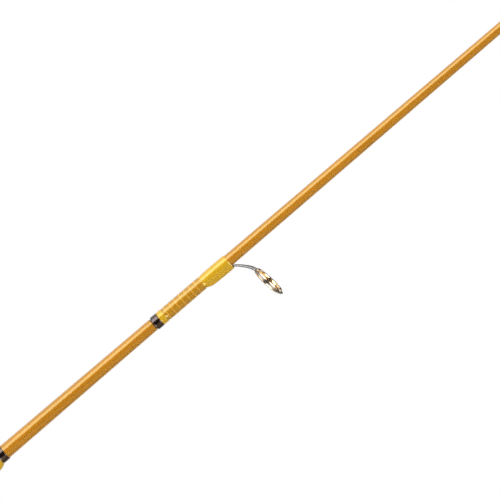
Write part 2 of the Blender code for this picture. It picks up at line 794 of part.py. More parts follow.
def foot_blade(name, foot, wide):
    """The ground foot of a guide, lying along the underside of the blank."""
    toe, heel, _ = foot
    sections = []
    for s in (toe, toe + (heel - toe) * TOE_RAMP, heel):
        thickness = foot_thickness(s, foot)
        top = -blank_radius(s) - 2 * FIT
        bottom = top - thickness
        bevel = min(0.25 * MM, thickness * 0.45)
        sections.append(
            [
                (x_at(s), -wide, top),
                (x_at(s), wide, top),
                (x_at(s), wide, bottom + bevel),
                (x_at(s), wide - bevel, bottom),
                (x_at(s), -wide + bevel, bottom),
                (x_at(s), -wide, bottom + bevel),
            ]
        )
    return lofted(name, sections, None)


def hoop_point(centre, lean, radius, angle):
    """A point of a hoop, by its angle from the side nearest the blank, towards +Y."""
    away = Vector((math.sin(lean), 0, -math.cos(lean)))
    return centre - away * (radius * math.cos(angle)) + Vector((0, radius * math.sin(angle), 0))


def hoop_path(centre, lean, radius, start_angle, steps):
    """Points round a hoop from start_angle to its mirror image, the long way round."""
    sweep = math.tau - 2 * start_angle
    return [
        hoop_point(centre, lean, radius, start_angle + sweep * i / steps) for i in range(steps + 1)
    ]


def make_ring(name, centre, lean, outer, material, start_angle, steps):
    """A gold ring with rounded lips, faceted like the hoop that it is set in."""
    half = outer * RING_WIDTH / 2
    wall = outer * RING_WALL
    inner = outer - wall
    profile = (
        (-half * 0.55, outer),
        (half * 0.55, outer),
        (half, outer - wall * 0.35),
        (half * 0.6, inner),
        (-half * 0.6, inner),
        (-half, outer - wall * 0.35),
    )
    axis = Vector((math.cos(lean), 0, math.sin(lean)))
    sweep = math.tau - 2 * start_angle
    angles = [0.0, *(start_angle + sweep * i / steps for i in range(steps + 1))]
    sections = []
    for angle in angles:
        spot = [hoop_point(centre, lean, r, angle) + axis * a for a, r in profile]
        sections.append(spot)
    return lofted(name, sections, material, through=True)


def single_foot_places(station, drop):
    """Stations of a single-foot guide's toe and heel, and the heel's thickness, from its size."""
    surface = blank_radius(station)
    reach = (drop - surface) * GUIDE_REACH
    heel = station - reach
    length = 8 * MM + (drop - surface) * 0.42
    return heel - length, heel


def make_single_foot_guide(name, station, radius, drop, wire_radius, materials):
    centre = Vector((x_at(station), 0, -drop))
    toe, heel = single_foot_places(station, drop)
    hoop = radius - wire_radius
    leaves = hoop_point(centre, GUIDE_LEAN, hoop, LEG_ANGLE)
    surface = blank_radius(heel) + 2 * FIT
    base = Vector((x_at(heel), wire_radius * LEG_SPREAD, -surface - wire_radius))
    rise = leaves - base
    leg = bezier(
        (
            leaves,
            leaves + rise * Vector(LEG_LEAVES),
            base + rise * Vector(LEG_LANDS),
            base,
        ),
        4,
    )
    inside = base + Vector((-2.2 * wire_radius, 0, 0))
    near = [inside, *leg[::-1][:-1]]
    steps = HOOP_STEPS if radius > SMALL_HOOP else SMALL_HOOP_STEPS
    loop = hoop_path(centre, GUIDE_LEAN, hoop, LEG_ANGLE, steps)
    far = [Vector((p.x, -p.y, p.z)) for p in near[::-1]]
    frame = wire(name + "_frame", near + loop + far, wire_radius, materials["steel"])
    foot = (toe, heel, FOOT_THICKNESS * wire_radius)
    wide = FOOT_HALF_WIDTH * wire_radius
    combine(frame, foot_blade(name + "_foot", foot, wide), "UNION")
    outer = radius - 2 * wire_radius - RING_FIT
    make_ring(name + "_ring", centre, GUIDE_LEAN, outer, materials["gold"], LEG_ANGLE, steps)
    wrap_start = FERRULE_AMBER[1] + BAND_GAP if name == FERRULE_GUIDE else toe - WRAP_LEAD
    foot_wrap(name + "_wrap", (wrap_start, heel - WRAP_END_GAP), foot, materials["yellow"], wide)


def make_stripper(materials):
    """The first guide from the reel: two legs to the foot behind the ring, and two to the foot in front."""
    centre = Vector((x_at(STRIPPER_STATION), 0, -STRIPPER_DROP))
    hoop = STRIPPER_RADIUS - STRIPPER_WIRE
    heels = {
        -1: STRIPPER_STATION - STRIPPER_FOOT_START,
        1: STRIPPER_STATION + STRIPPER_FOOT_START,
    }
    material = materials["steel"]

    def leg_path(side, leave_angle):
        leaves = hoop_point(centre, 0, hoop, leave_angle)
        surface = blank_radius(heels[side]) + 2 * FIT
        base = Vector((x_at(heels[side]), STRIPPER_WIRE * LEG_SPREAD, -surface - STRIPPER_WIRE))
        rise = leaves - base
        path = bezier(
            (
                leaves,
                leaves + Vector((-0.1 * rise.x, -0.2 * rise.y, -0.35 * rise.z)),
                base + Vector((0.35 * rise.x, 0.15 * rise.y, 0.2 * rise.z)),
                base,
            ),
            6,
        )
        return [base + Vector((side * 2.5 * STRIPPER_WIRE, 0, 0)), *path[::-1]]

    near = leg_path(-1, math.radians(38))
    loop = hoop_path(centre, 0, hoop, math.radians(38), 20)
    far = [Vector((p.x, -p.y, p.z)) for p in near[::-1]]
    frame = wire("stripper_frame", near[:-1] + loop + far[1:], STRIPPER_WIRE, material)
    for name, flip in (("left", 1), ("right", -1)):
        path = [Vector((p.x, flip * p.y, p.z)) for p in leg_path(1, math.radians(70))]
        combine(frame, wire("stripper_leg_" + name, path, STRIPPER_WIRE * 0.93, None), "UNION")
    feet = {}
    wide = FOOT_HALF_WIDTH * STRIPPER_WIRE
    for side, heel in heels.items():
        toe = heel + side * STRIPPER_FOOT_LENGTH
        feet[side] = (toe, heel, FOOT_THICKNESS * STRIPPER_WIRE)
        end_name = "rear" if side < 0 else "front"
        combine(frame, foot_blade("stripper_foot_" + end_name, feet[side], wide), "UNION")
    outer = STRIPPER_RADIUS - 2 * STRIPPER_WIRE - RING_FIT
    make_ring("stripper_ring", centre, 0, outer, materials["gold"], math.radians(38), 20)
    foot_wrap("stripper_wrap_rear", STRIPPER_REAR_WRAP, feet[-1], materials["yellow"], wide)
    foot_wrap("stripper_wrap_front", STRIPPER_FRONT_WRAP, feet[1], materials["yellow"], wide)
    band("stripper_trim_rear", STRIPPER_REAR_TRIM, materials["black"])
    band("stripper_trim_front", STRIPPER_FRONT_TRIM, materials["black"])


def make_tip_top(materials):
    """The last guide: a tube glued over the end of the blank, with a looped wire that holds the ring."""
    start, end = TIP_TUBE
    outline = [
        (x_at(start), TIP_TUBE_RADIUS - 0.2 * MM),
        (x_at(start + 0.4 * MM), TIP_TUBE_RADIUS),
        (x_at(end - 0.3 * MM), TIP_TUBE_RADIUS),
        (x_at(end), TIP_TUBE_RADIUS - 0.3 * MM),
        (x_at(end), 0),
    ]
    floor = BLANK_END + 0.3 * MM
    bore = [(x_at(floor), 0), (x_at(floor), clear_radius(floor)), (x_at(start), clear_radius(start))]
    tube = turned("tip_top_frame", outline[::-1] + bore[::-1], materials["steel"], 16)
    hoop = TIP_RING_RADIUS - TIP_RING_WIRE
    leaves = hoop_point(TIP_RING_CENTRE, TIP_RING_LEAN, hoop, TIP_LEG_ANGLE)
    base = Vector((x_at(end - 6 * MM), TIP_TUBE_RADIUS * 0.92, -TIP_RING_WIRE))
    along = Vector((4 * MM, 0, 0))
    leg = bezier((base, base + along, leaves + Vector((-1.4 * MM, 0.5 * MM, 0.9 * MM)), leaves), 5)
    loop = hoop_path(TIP_RING_CENTRE, TIP_RING_LEAN, hoop, TIP_LEG_ANGLE, 12)
    far = [Vector((p.x, -p.y, p.z)) for p in leg[::-1]]
    strut = wire("tip_top_loop", leg[:-1] + loop + far[1:], TIP_RING_WIRE, None)
    combine(tube, strut, "UNION")
    outer = TIP_RING_RADIUS - 2 * TIP_RING_WIRE - RING_FIT
    make_ring("tip_top_ring", TIP_RING_CENTRE, TIP_RING_LEAN, outer, materials["gold"], TIP_LEG_ANGLE, 12)
    band("tip_top_wrap", (start - 6.2 * MM, start - 0.1 * MM), materials["yellow"], 0.3 * MM)


def make_keeper_wraps(material):
    """The two bands of thread over the hook keeper's feet."""
    for name, toe, heel in (
        ("keeper_wrap_rear", KEEPER_STATION - KEEPER_FOOT, KEEPER_STATION - 1.2 * MM),
        ("keeper_wrap_front", KEEPER_STATION + KEEPER_FOOT, KEEPER_STATION + 1.2 * MM),
    ):
        side = 1 if toe > heel else -1
        slope = blank_radius(KEEPER_STATION - KEEPER_FOOT) - blank_radius(toe) + 2 * FIT
        foot = (toe, heel, KEEPER_STRIP + slope + 2 * FIT)
        span = sorted((toe + side * 4.5 * MM, KEEPER_STATION + side * 2.6 * MM))
        foot_wrap(name, tuple(span), foot, material, KEEPER_HALF_WIDTH)


def main():
    for obj in list(bpy.data.objects):
        bpy.data.objects.remove(obj)
    materials = make_materials()
    make_butt_blank(materials["blank"])
    make_spigot(materials["blank"])
    make_tip_blank(materials["blank"])
    make_butt_cap(materials["rubber"])
    make_rear_grip(materials["cork"])
    make_fore_grip(materials["cork"])
    make_trim_rings(materials["gold_trim"])
    make_winding_check(materials["gold_trim"])
    make_arbors(materials["arbor"])
    make_barrel(materials["seat"])
    make_fixed_hood(materials["steel"])
    make_sliding_hood(materials["steel"])
    make_lock_nut(materials["seat"])
    make_keeper_bracket(materials["steel"])
    make_keeper_ring(materials["steel"])
    make_keeper_wraps(materials["yellow"])
    make_stripper(materials)
    band("ferrule_trim_black", FERRULE_BLACK, materials["black"], 0.5 * MM)
    band("ferrule_trim_yellow", FERRULE_YELLOW, materials["yellow"])
    band("ferrule_wrap", FERRULE_AMBER, materials["amber"], 0.38 * MM)
    for guide in GUIDES:
        make_single_foot_guide(*guide, materials)
    make_tip_top(materials)


main()
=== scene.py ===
"""Builds the finished look of a two-piece spinning rod round its packed frame.

Row frame: X runs along the rod from butt to tip, Z is up, and the guides hang towards -Z.
The origin is on the rod's axis at the middle of the reel seat. Stations are distances from the butt end.
"""

import math

import bmesh
import bpy
import numpy as np
from mathutils import Matrix, Vector


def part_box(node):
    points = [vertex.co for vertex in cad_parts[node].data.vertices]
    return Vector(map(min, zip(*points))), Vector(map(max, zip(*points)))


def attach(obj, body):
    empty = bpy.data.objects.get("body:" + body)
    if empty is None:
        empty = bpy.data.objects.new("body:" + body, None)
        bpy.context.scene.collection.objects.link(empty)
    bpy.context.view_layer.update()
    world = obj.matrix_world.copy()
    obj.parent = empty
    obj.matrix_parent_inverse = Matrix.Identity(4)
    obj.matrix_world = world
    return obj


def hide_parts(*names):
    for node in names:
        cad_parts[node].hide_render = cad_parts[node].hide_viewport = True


bl_info = {
    "name": "Spinning Rod Builder",
    "version": (1, 0, 0),
    "blender": (4, 5, 0),
    "location": "3D View > Sidebar > Rod",
    "description": "Builds a two-piece spinning rod with its wraps, guides, grips and reel seat",
    "category": "Object",
}

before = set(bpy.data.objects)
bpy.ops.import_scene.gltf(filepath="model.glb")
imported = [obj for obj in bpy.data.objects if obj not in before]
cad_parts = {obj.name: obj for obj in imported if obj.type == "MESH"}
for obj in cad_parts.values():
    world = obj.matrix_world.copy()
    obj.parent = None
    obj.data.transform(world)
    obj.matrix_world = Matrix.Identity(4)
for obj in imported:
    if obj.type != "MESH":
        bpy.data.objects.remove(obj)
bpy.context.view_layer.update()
MM = 0.001

BUTT = "butt_section"
TIP = "tip_section"

# ---- Tints of what the varnished pieces reflect, and of their pale edges ----
AMBER_GLOSS = (0.95, 1.0, 0.44)
YELLOW_GLOSS = (1.0, 1.0, 0.45)
BLACK_GLOSS = (0.9, 0.74, 0.76)
VARNISH_EDGE = (0.62, 1.0, 0.7)

# ---- Stations, repeated from the rod's design ----
SEAT_CENTRE = 287.5 * MM
JOINT = 963.0 * MM
BLANK_TAPER = (
    (0 * MM, 13.4 * MM),
    (420 * MM, 11.9 * MM),
    (856 * MM, 8.25 * MM),
    (963 * MM, 7.15 * MM),
    (1208 * MM, 5.45 * MM),
    (1981 * MM, 1.9 * MM),
)
BLANK_END = 1973.5 * MM
BLANK_RIM = 0.15 * MM  # rounding of the cut ends at the joint
FIT = 0.03 * MM  # gap under each piece on the blank
SPIGOT_RADIUS = 2.45 * MM
SPIGOT_TAPER = 0.004
BUTT_SOCKET = 62 * MM  # depth of the spigot's hole in the butt section
TIP_SOCKET = 63 * MM

# ---- Thread wraps ----
WRAP_THICKNESS = 0.36 * MM
WRAP_START_SLOPE = 2.8 * MM  # length over which a wrap rises from the blank
WRAP_END_SLOPE = 0.8 * MM
BAND_SLOPE = 0.55 * MM
BAND_CROWN = 0.03 * MM
STRIPPER_TRIM_THICKNESS = 0.42 * MM
GUIDE_TRIM_LENGTH = 2.4 * MM
GUIDE_TRIM_THICKNESS = 0.30 * MM

# ---- Guides: station of the ring, hoop's outer radius, drop of the ring's centre, wire radius ----
GUIDES = (
    ("guide_2", 1026.3 * MM, 10.4 * MM, 22.6 * MM, 0.60 * MM),
    ("guide_3", 1248.0 * MM, 7.30 * MM, 16.8 * MM, 0.50 * MM),
    ("guide_4", 1416.0 * MM, 6.20 * MM, 13.9 * MM, 0.45 * MM),
    ("guide_5", 1559.0 * MM, 5.20 * MM, 11.4 * MM, 0.42 * MM),
    ("guide_6", 1681.0 * MM, 4.60 * MM, 9.9 * MM, 0.40 * MM),
    ("guide_7", 1788.0 * MM, 4.10 * MM, 8.6 * MM, 0.38 * MM),
    ("guide_8", 1885.0 * MM, 3.80 * MM, 7.8 * MM, 0.36 * MM),
)
GUIDE_LEAN = math.radians(7)
GUIDE_REACH = 0.462
LEG_ANGLE = math.radians(24)
LEG_SPREAD = 1.08
FOOT_HALF_WIDTH = 2.2
FOOT_THICKNESS = 2.25
FOOT_BASE_LENGTH = 8 * MM
FOOT_LENGTH_SHARE = 0.42  # further length per drop below the blank's surface
TOE_RAMP, TOE_SHARE, RAMP_SHARE = 0.15, 0.25, 0.7
LEG_BENDS = ((-0.06, -0.25, -0.32), (0.30, 0.2, 0.16))
RING_WALL = 0.22
RING_WIDTH = 0.33
RING_SQUARENESS = 0.78  # 1 for a round section, less for a squarer one
RING_FIT = 0.05 * MM

STRIPPER_STATION = 821.4 * MM
STRIPPER_RADIUS = 13.6 * MM
STRIPPER_DROP = 31.0 * MM
STRIPPER_WIRE = 0.80 * MM
STRIPPER_FOOT_START = 12.0 * MM
STRIPPER_FOOT_LENGTH = 17.0 * MM
STRIPPER_LEG_ANGLE = math.radians(38)
STRIPPER_STRUT_ANGLE = math.radians(70)
STRIPPER_BENDS = ((-0.1, -0.2, -0.35), (0.35, 0.15, 0.2))

TIP_TUBE = (1962.0 * MM, 1974.5 * MM)
TIP_TUBE_RADIUS = 1.55 * MM
TIP_RING_RADIUS = 3.9 * MM
TIP_RING_WIRE = 0.38 * MM
TIP_RING_CENTRE = Vector((1977.3 * MM - SEAT_CENTRE, 0, -3.4 * MM))
TIP_RING_LEAN = math.radians(20)
TIP_LEG_ANGLE = math.radians(60)

# ---- Handle, reel seat and hook keeper ----
CAP_RADIUS = 14.2 * MM
CAP_SOCKET_RADIUS = 12.05 * MM
CAP_FLOOR = 5.5 * MM
CAP_GROOVE = 0.45 * MM
SEAT_HALF = 57.1 * MM
BARREL_RADIUS = 10.25 * MM
BARREL_BORE = 8.0 * MM
DECK_DEPTH = 9.3 * MM
DECK_START, DECK_END = -17.5 * MM, 51.5 * MM
THREAD_PITCH = 3.0 * MM
THREAD_ROOT = 9.35 * MM
THREAD_START, THREAD_END = -54.6 * MM, -24.0 * MM
KEYWAY_HALF_WIDTH = 1.5 * MM
KEYWAY_FLOOR = 9.1 * MM
KEYWAY_END = 12.0 * MM
HOOD_BORE = 10.45 * MM
HOOD_RADIUS = 12.0 * MM
HOOD_MOUTH_DEPTH = 15.9 * MM
HOOD_NOSE_DEPTH = 13.2 * MM
HOOD_NARROW = 5.1 * MM
POCKET_LENGTH = 13.0 * MM
POCKET_HALF_WIDTH = 7.0 * MM
POCKET_MOUTH_DEPTH = 14.6 * MM
POCKET_END_DEPTH = 12.4 * MM
SKIRT_LENGTH = 5.0 * MM
SKIRT_RADIUS = 13.9 * MM
SKIRT_RECESS_RADIUS = 12.7 * MM
SKIRT_LIP_RADIUS = 11.9 * MM
NUT_LENGTH = 13.0 * MM
NUT_RADIUS = 13.6 * MM
NUT_FLUTES = 16
NUT_CLEARANCE = 0.3 * MM
KEEPER_STATION = 440.0 * MM
KEEPER_BAR_RADIUS = 0.45 * MM
KEEPER_STRIP = 0.45 * MM
KEEPER_HALF_WIDTH = 1.7 * MM
KEEPER_FOOT = 9.0 * MM
KEEPER_RING_HALF_WIDTH = 3.6 * MM
KEEPER_RING_DROP = 7.6 * MM
KEEPER_CORNER = 0.9 * MM

# ---- Studio ----
VIEW_CENTRE = Vector((1029.7 * MM - SEAT_CENTRE, 0, -3.3 * MM))
LIGHTS_CENTRE = Vector((1000.0 * MM - SEAT_CENTRE, 0, 0))
LIGHT_COLOUR = (1.0, 0.95, 0.89)
WARM_LIGHT = (1.0, 0.74, 0.42)
SOFTBOX_DISTANCE = 1.25
SOFTBOX_LENGTH = 3.4
END_LIGHT_SIZE = 1.1
ROOM_COLOUR = (1.0, 0.85, 0.7, 1.0)
ROOM_STRENGTH = 0.045
FLOOR_DROP = 0.62  # below the second guide's ring

# ---- Fineness of the meshes ----
ROUND_SIDES = 96
SMALL_SIDES = 48
WIRE_SIDES = 14


def x_at(station):
    """Row X of a station."""
    return station - SEAT_CENTRE


def blank_radius(station):
    """Outer radius of the blank at a station."""
    stations = [s for s, _ in BLANK_TAPER]
    diameters = [d for _, d in BLANK_TAPER]
    return float(np.interp(station, stations, diameters)) / 2


def radius_at_x(x):
    return blank_radius(x + SEAT_CENTRE)


def span(node):
    """The lowest and highest row X of a frame node."""
    low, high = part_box(node)
    return low[0], high[0]


# ---- Settings ----


class RodBlankSettings(bpy.types.PropertyGroup):
    """Colours of the blank."""

    colour: bpy.props.FloatVectorProperty(
        name="Glass fibre",
        description="Colour of the glass-fibre blank under its clear coat",
        subtype="COLOR",
        size=3,
        min=0.0,
        max=1.0,
        default=(0.32, 0.132, 0.008),
    )
    fibre_contrast: bpy.props.FloatProperty(
        name="Fibre contrast",
        description="How much the glass cloth's fibres vary in tone",
        default=0.035,
        min=0.0,
        max=1.0,
        subtype="FACTOR",
    )
    coat_roughness: bpy.props.FloatProperty(
        name="Coat roughness",
        description="Roughness of the clear coat",
        default=0.05,
        min=0.0,
        max=1.0,
        subtype="FACTOR",
    )


class RodThreadSettings(bpy.types.PropertyGroup):
    """Colours and sizes of the wound thread."""

    yellow: bpy.props.FloatVectorProperty(
        name="Guide thread",
        description="Colour of the thread that binds the guides",
        subtype="COLOR",
        size=3,
        min=0.0,
        max=1.0,
        default=(0.42, 0.25, 0.010),
    )
    amber: bpy.props.FloatVectorProperty(
        name="Ferrule thread",
        description="Colour of the thread over the ferrule",
        subtype="COLOR",
        size=3,
        min=0.0,
        max=1.0,
        default=(0.315, 0.147, 0.008),
    )
    black: bpy.props.FloatVectorProperty(
        name="Trim thread",
        description="Colour of the trim bands",
        subtype="COLOR",
        size=3,
        min=0.0,
        max=1.0,
        default=(0.005, 0.0025, 0.0025),
    )
    pitch: bpy.props.FloatProperty(
        name="Thread width",
        description="Width of one turn of thread",
        default=0.20 * MM,
        min=0.05 * MM,
        max=1.0 * MM,
        subtype="DISTANCE",
        unit="LENGTH",
    )
    crown: bpy.props.FloatProperty(
        name="Finish crown",
        description="Extra thickness of clear finish along the middle of a wrap",
        default=0.16 * MM,
        min=0.0,
        max=1.0 * MM,
        subtype="DISTANCE",
        unit="LENGTH",
    )
    ring_spacing: bpy.props.FloatProperty(
        name="Inlay spacing",
        description="Distance between the lighter inlay turns of the ferrule wrap",
        default=3.6 * MM,
        min=1.0 * MM,
        max=10.0 * MM,
        subtype="DISTANCE",
        unit="LENGTH",
    )


class RodHandleSettings(bpy.types.PropertyGroup):
    """Colours of the handle."""

    cork: bpy.props.FloatVectorProperty(
        name="Cork",
        description="Colour of the cork grips",
        subtype="COLOR",
        size=3,
        min=0.0,
        max=1.0,
        default=(0.34, 0.21, 0.105),
    )
    cork_ring: bpy.props.FloatProperty(
        name="Cork ring",
        description="Length of one cork ring",
        default=12.7 * MM,
        min=5.0 * MM,
        max=40.0 * MM,
        subtype="DISTANCE",
        unit="LENGTH",
    )
    seat: bpy.props.FloatVectorProperty(
        name="Reel seat",
        description="Colour of the reel seat's barrel and nut",
        subtype="COLOR",
        size=3,
        min=0.0,
        max=1.0,
        default=(0.012, 0.0115, 0.0125),
    )
    trim: bpy.props.FloatVectorProperty(
        name="Anodised trim",
        description="Colour of the anodised rings",
        subtype="COLOR",
        size=3,
        min=0.0,
        max=1.0,
        default=(0.60, 0.38, 0.11),
    )


class RodGuideSettings(bpy.types.PropertyGroup):
    """Metals of the guides."""

    steel: bpy.props.FloatVectorProperty(
        name="Frame steel",
        description="Colour of the guides' frames",
        subtype="COLOR",
        size=3,
        min=0.0,
        max=1.0,
        default=(0.18, 0.187, 0.198),
    )
    ring: bpy.props.FloatVectorProperty(
        name="Ring",
        description="Colour of the guides' polished rings",
        subtype="COLOR",
        size=3,
        min=0.0,
        max=1.0,
        default=(0.86, 0.64, 0.40),
    )
    ring_roughness: bpy.props.FloatProperty(
        name="Ring roughness",
        description="Roughness of the polished rings",
        default=0.17,
        min=0.0,
        max=1.0,
        subtype="FACTOR",
    )


class RodStageSettings(bpy.types.PropertyGroup):
    """The camera and the studio."""

    field: bpy.props.FloatProperty(
        name="Field",
        description="Width of the view at the rod",
        default=271.8 * MM,
        min=10.0 * MM,
        max=5.0,
        subtype="DISTANCE",
        unit="LENGTH",
    )
    distance: bpy.props.FloatProperty(
        name="Distance",
        description="Distance from the camera to the rod",
        default=5.0,
        min=0.2,
        max=20.0,
        subtype="DISTANCE",
        unit="LENGTH",
    )
    swing: bpy.props.FloatProperty(
        name="Swing",
        description="How far the camera stands round towards the tip",
        default=math.radians(6.5),
        min=math.radians(-89),
        max=math.radians(89),
        subtype="ANGLE",
        unit="ROTATION",
    )
    rise: bpy.props.FloatProperty(
        name="Rise",
        description="Angle at which the rod climbs across the view",
        default=math.radians(40.57),
        min=math.radians(-90),
        max=math.radians(90),
        subtype="ANGLE",
        unit="ROTATION",
    )
    key: bpy.props.FloatProperty(
        name="Key light",
        description="Radiance of the large softbox above the camera",
        default=4.7,
        min=0.0,
        max=50.0,
    )
    fill: bpy.props.FloatProperty(
        name="Fill light",
        description="Radiance of the fill light below the camera",
        default=0.8,
        min=0.0,
        max=50.0,
    )
    ends: bpy.props.FloatProperty(
        name="End lights",
        description="Radiance of the lights beyond both ends, which don't show in the rod's gloss",
        default=6.4,
        min=0.0,
        max=50.0,
    )


# ---- Material tools ----


class Finish:
    """A material under construction, with short calls for its nodes."""

    def __init__(self, name, colour, roughness, metallic=0.0):
        self.material = bpy.data.materials.new(name)
        self.material.use_nodes = True
        self.material.diffuse_color = (*colour, 1.0)
        self.tree = self.material.node_tree
        self.shader = self.tree.nodes["Principled BSDF"]
        self.shader.inputs["Roughness"].default_value = roughness
        self.shader.inputs["Metallic"].default_value = metallic
        self.place = self.tree.nodes.new("ShaderNodeTexCoord").outputs["Object"]

    def link(self, source, target):
        if hasattr(source, "is_output"):
            self.tree.links.new(source, target)
        elif hasattr(source, "__len__") and len(source) == 3 and target.type == "RGBA":
            target.default_value = (*source, 1.0)
        else:
            target.default_value = source

    def math(self, operation, *values):
        made = self.tree.nodes.new("ShaderNodeMath")
        made.operation = operation
        for socket, value in zip(made.inputs, values):
            self.link(value, socket)
        return made.outputs[0]

    def axes(self):
        """The three coordinates of the point."""
        made = self.tree.nodes.new("ShaderNodeSeparateXYZ")
        self.link(self.place, made.inputs[0])
        return made.outputs

    def scaled(self, x, y, z):
        """The point with its coordinates stretched."""
        made = self.tree.nodes.new("ShaderNodeMapping")
        self.link(self.place, made.inputs["Vector"])
        made.inputs["Scale"].default_value = (x, y, z)
        return made.outputs[0]

    def noise(self, scale, detail=3.0, roughness=0.5, vector=None):
        made = self.tree.nodes.new("ShaderNodeTexNoise")
        self.link(self.place if vector is None else vector, made.inputs["Vector"])
        made.inputs["Scale"].default_value = scale
        made.inputs["Detail"].default_value = detail
        made.inputs["Roughness"].default_value = roughness
        return made.outputs[0]

    def cells(self, scale):
        made = self.tree.nodes.new("ShaderNodeTexVoronoi")
        self.link(self.place, made.inputs["Vector"])
        made.inputs["Scale"].default_value = scale
        return made.outputs["Distance"]

    def ramp(self, value, low, high, out_low=0.0, out_high=1.0):
        made = self.tree.nodes.new("ShaderNodeMapRange")
        made.interpolation_type = "SMOOTHSTEP"
        for name, number in (
            ("Value", value),
            ("From Min", low),
            ("From Max", high),
            ("To Min", out_low),
            ("To Max", out_high),
        ):
            self.link(number, made.inputs[name])
        return made.outputs[0]

    def mix(self, share, low, high):
        made = self.tree.nodes.new("ShaderNodeMix")
        made.data_type = "RGBA"
        self.link(share, made.inputs[0])
        self.link(low, made.inputs[6])
        self.link(high, made.inputs[7])
        return made.outputs[2]

    def colour(self, value):
        self.link(value, self.shader.inputs["Base Color"])

    def two_tones(self, share, base, dark, light):
        """Colours the surface between a darker and a lighter shade of its base."""
        self.colour(self.mix(share, scaled_colour(base, dark), scaled_colour(base, light)))

    def roughness(self, value):
        self.link(value, self.shader.inputs["Roughness"])

    def bump(self, height, distance, strength=1.0):
        """Relief of the given depth under any coat."""
        made = self.tree.nodes.new("ShaderNodeBump")
        made.inputs["Strength"].default_value = strength
        made.inputs["Distance"].default_value = distance
        self.link(height, made.inputs["Height"])
        if self.shader.inputs["Normal"].is_linked:
            self.link(self.shader.inputs["Normal"].links[0].from_socket, made.inputs["Normal"])
        self.link(made.outputs[0], self.shader.inputs["Normal"])

    def coat(self, weight, roughness):
        self.shader.inputs["Coat Weight"].default_value = weight
        self.shader.inputs["Coat Roughness"].default_value = roughness
        self.shader.inputs["Coat IOR"].default_value = 1.5

    def gloss(self, level, tint):
        self.shader.inputs["Specular IOR Level"].default_value = level
        self.shader.inputs["Specular Tint"].default_value = (*tint, 1.0)

    def sheen(self, weight, tint):
        self.shader.inputs["Sheen Weight"].default_value = weight
        self.shader.inputs["Sheen Roughness"].default_value = 0.4
        self.shader.inputs["Sheen Tint"].default_value = (*tint, 1.0)

    def angle_round_rod(self):
        """The angle round the rod's axis, from -pi to pi."""
        _, y, z = self.axes()
        return self.math("ARCTAN2", y, z)

    def from_nearest(self, steps):
        """How far a number is from the nearest whole one."""
        share = self.math("FRACT", self.math("ADD", steps, 0.5))
        return self.math("ABSOLUTE", self.math("SUBTRACT", share, 0.5))


def scaled_colour(colour, share):
    """A colour made darker or lighter by a share."""
    return tuple(min(1.0, c * share) for c in colour)


def blended(colour, other, share):
    return tuple(a + (b - a) * share for a, b in zip(colour, other))


# ---- Materials ----


def glass_fibre_finish(settings):
    """Clear-coated glass cloth: fine fibres along the rod, crossed by a faint helical scrim."""
    base = tuple(settings.colour)
    finish = Finish("amber_glass_fibre", base, 0.38)
    fibres = finish.noise(1.0, 4.0, 0.6, finish.scaled(90.0, 2600.0, 2600.0))
    patches = finish.noise(1.0, 2.0, 0.5, finish.scaled(28.0, 140.0, 140.0))
    x, _, _ = finish.axes()
    angle = finish.angle_round_rod()
    turns = finish.math("MULTIPLY", x, math.tau / (2.4 * MM))
    twist = finish.math("MULTIPLY", angle, 4.0)
    left = finish.math("SINE", finish.math("ADD", turns, twist))
    right = finish.math("SINE", finish.math("SUBTRACT", turns, twist))
    scrim = finish.math("MULTIPLY", finish.math("ADD", left, right), 0.25)
    tone = finish.ramp(fibres, 0.3, 0.7, -0.5, 0.5)
    tone = finish.math("ADD", tone, finish.ramp(patches, 0.3, 0.7, -0.3, 0.3))
    tone = finish.math("ADD", tone, finish.math("MULTIPLY", scrim, 0.3))
    contrast = settings.fibre_contrast * 2
    finish.two_tones(finish.math("ADD", tone, 0.5), base, 1 - contrast, 1 + contrast)
    finish.roughness(finish.ramp(patches, 0.2, 0.8, 0.10, 0.15))
    finish.bump(fibres, 0.01 * MM, 0.1)
    finish.gloss(0.8, AMBER_GLOSS)
    finish.sheen(0.15, VARNISH_EDGE)
    finish.coat(0.3, settings.coat_roughness)
    return finish.material


def spigot_finish(settings):
    """Ground and waxed glass fibre: duller than the blank, with fine turning marks."""
    base = scaled_colour(tuple(settings.colour), 0.8)
    finish = Finish("ground_glass_fibre", base, 0.42)
    marks = finish.noise(1.0, 3.0, 0.6, finish.scaled(5200.0, 60.0, 60.0))
    smears = finish.noise(120.0, 3.0, 0.55)
    finish.two_tones(finish.ramp(marks, 0.3, 0.7), base, 0.8, 1.3)
    finish.roughness(finish.ramp(smears, 0.3, 0.7, 0.34, 0.55))
    finish.bump(marks, 0.01 * MM, 0.5)
    return finish.material


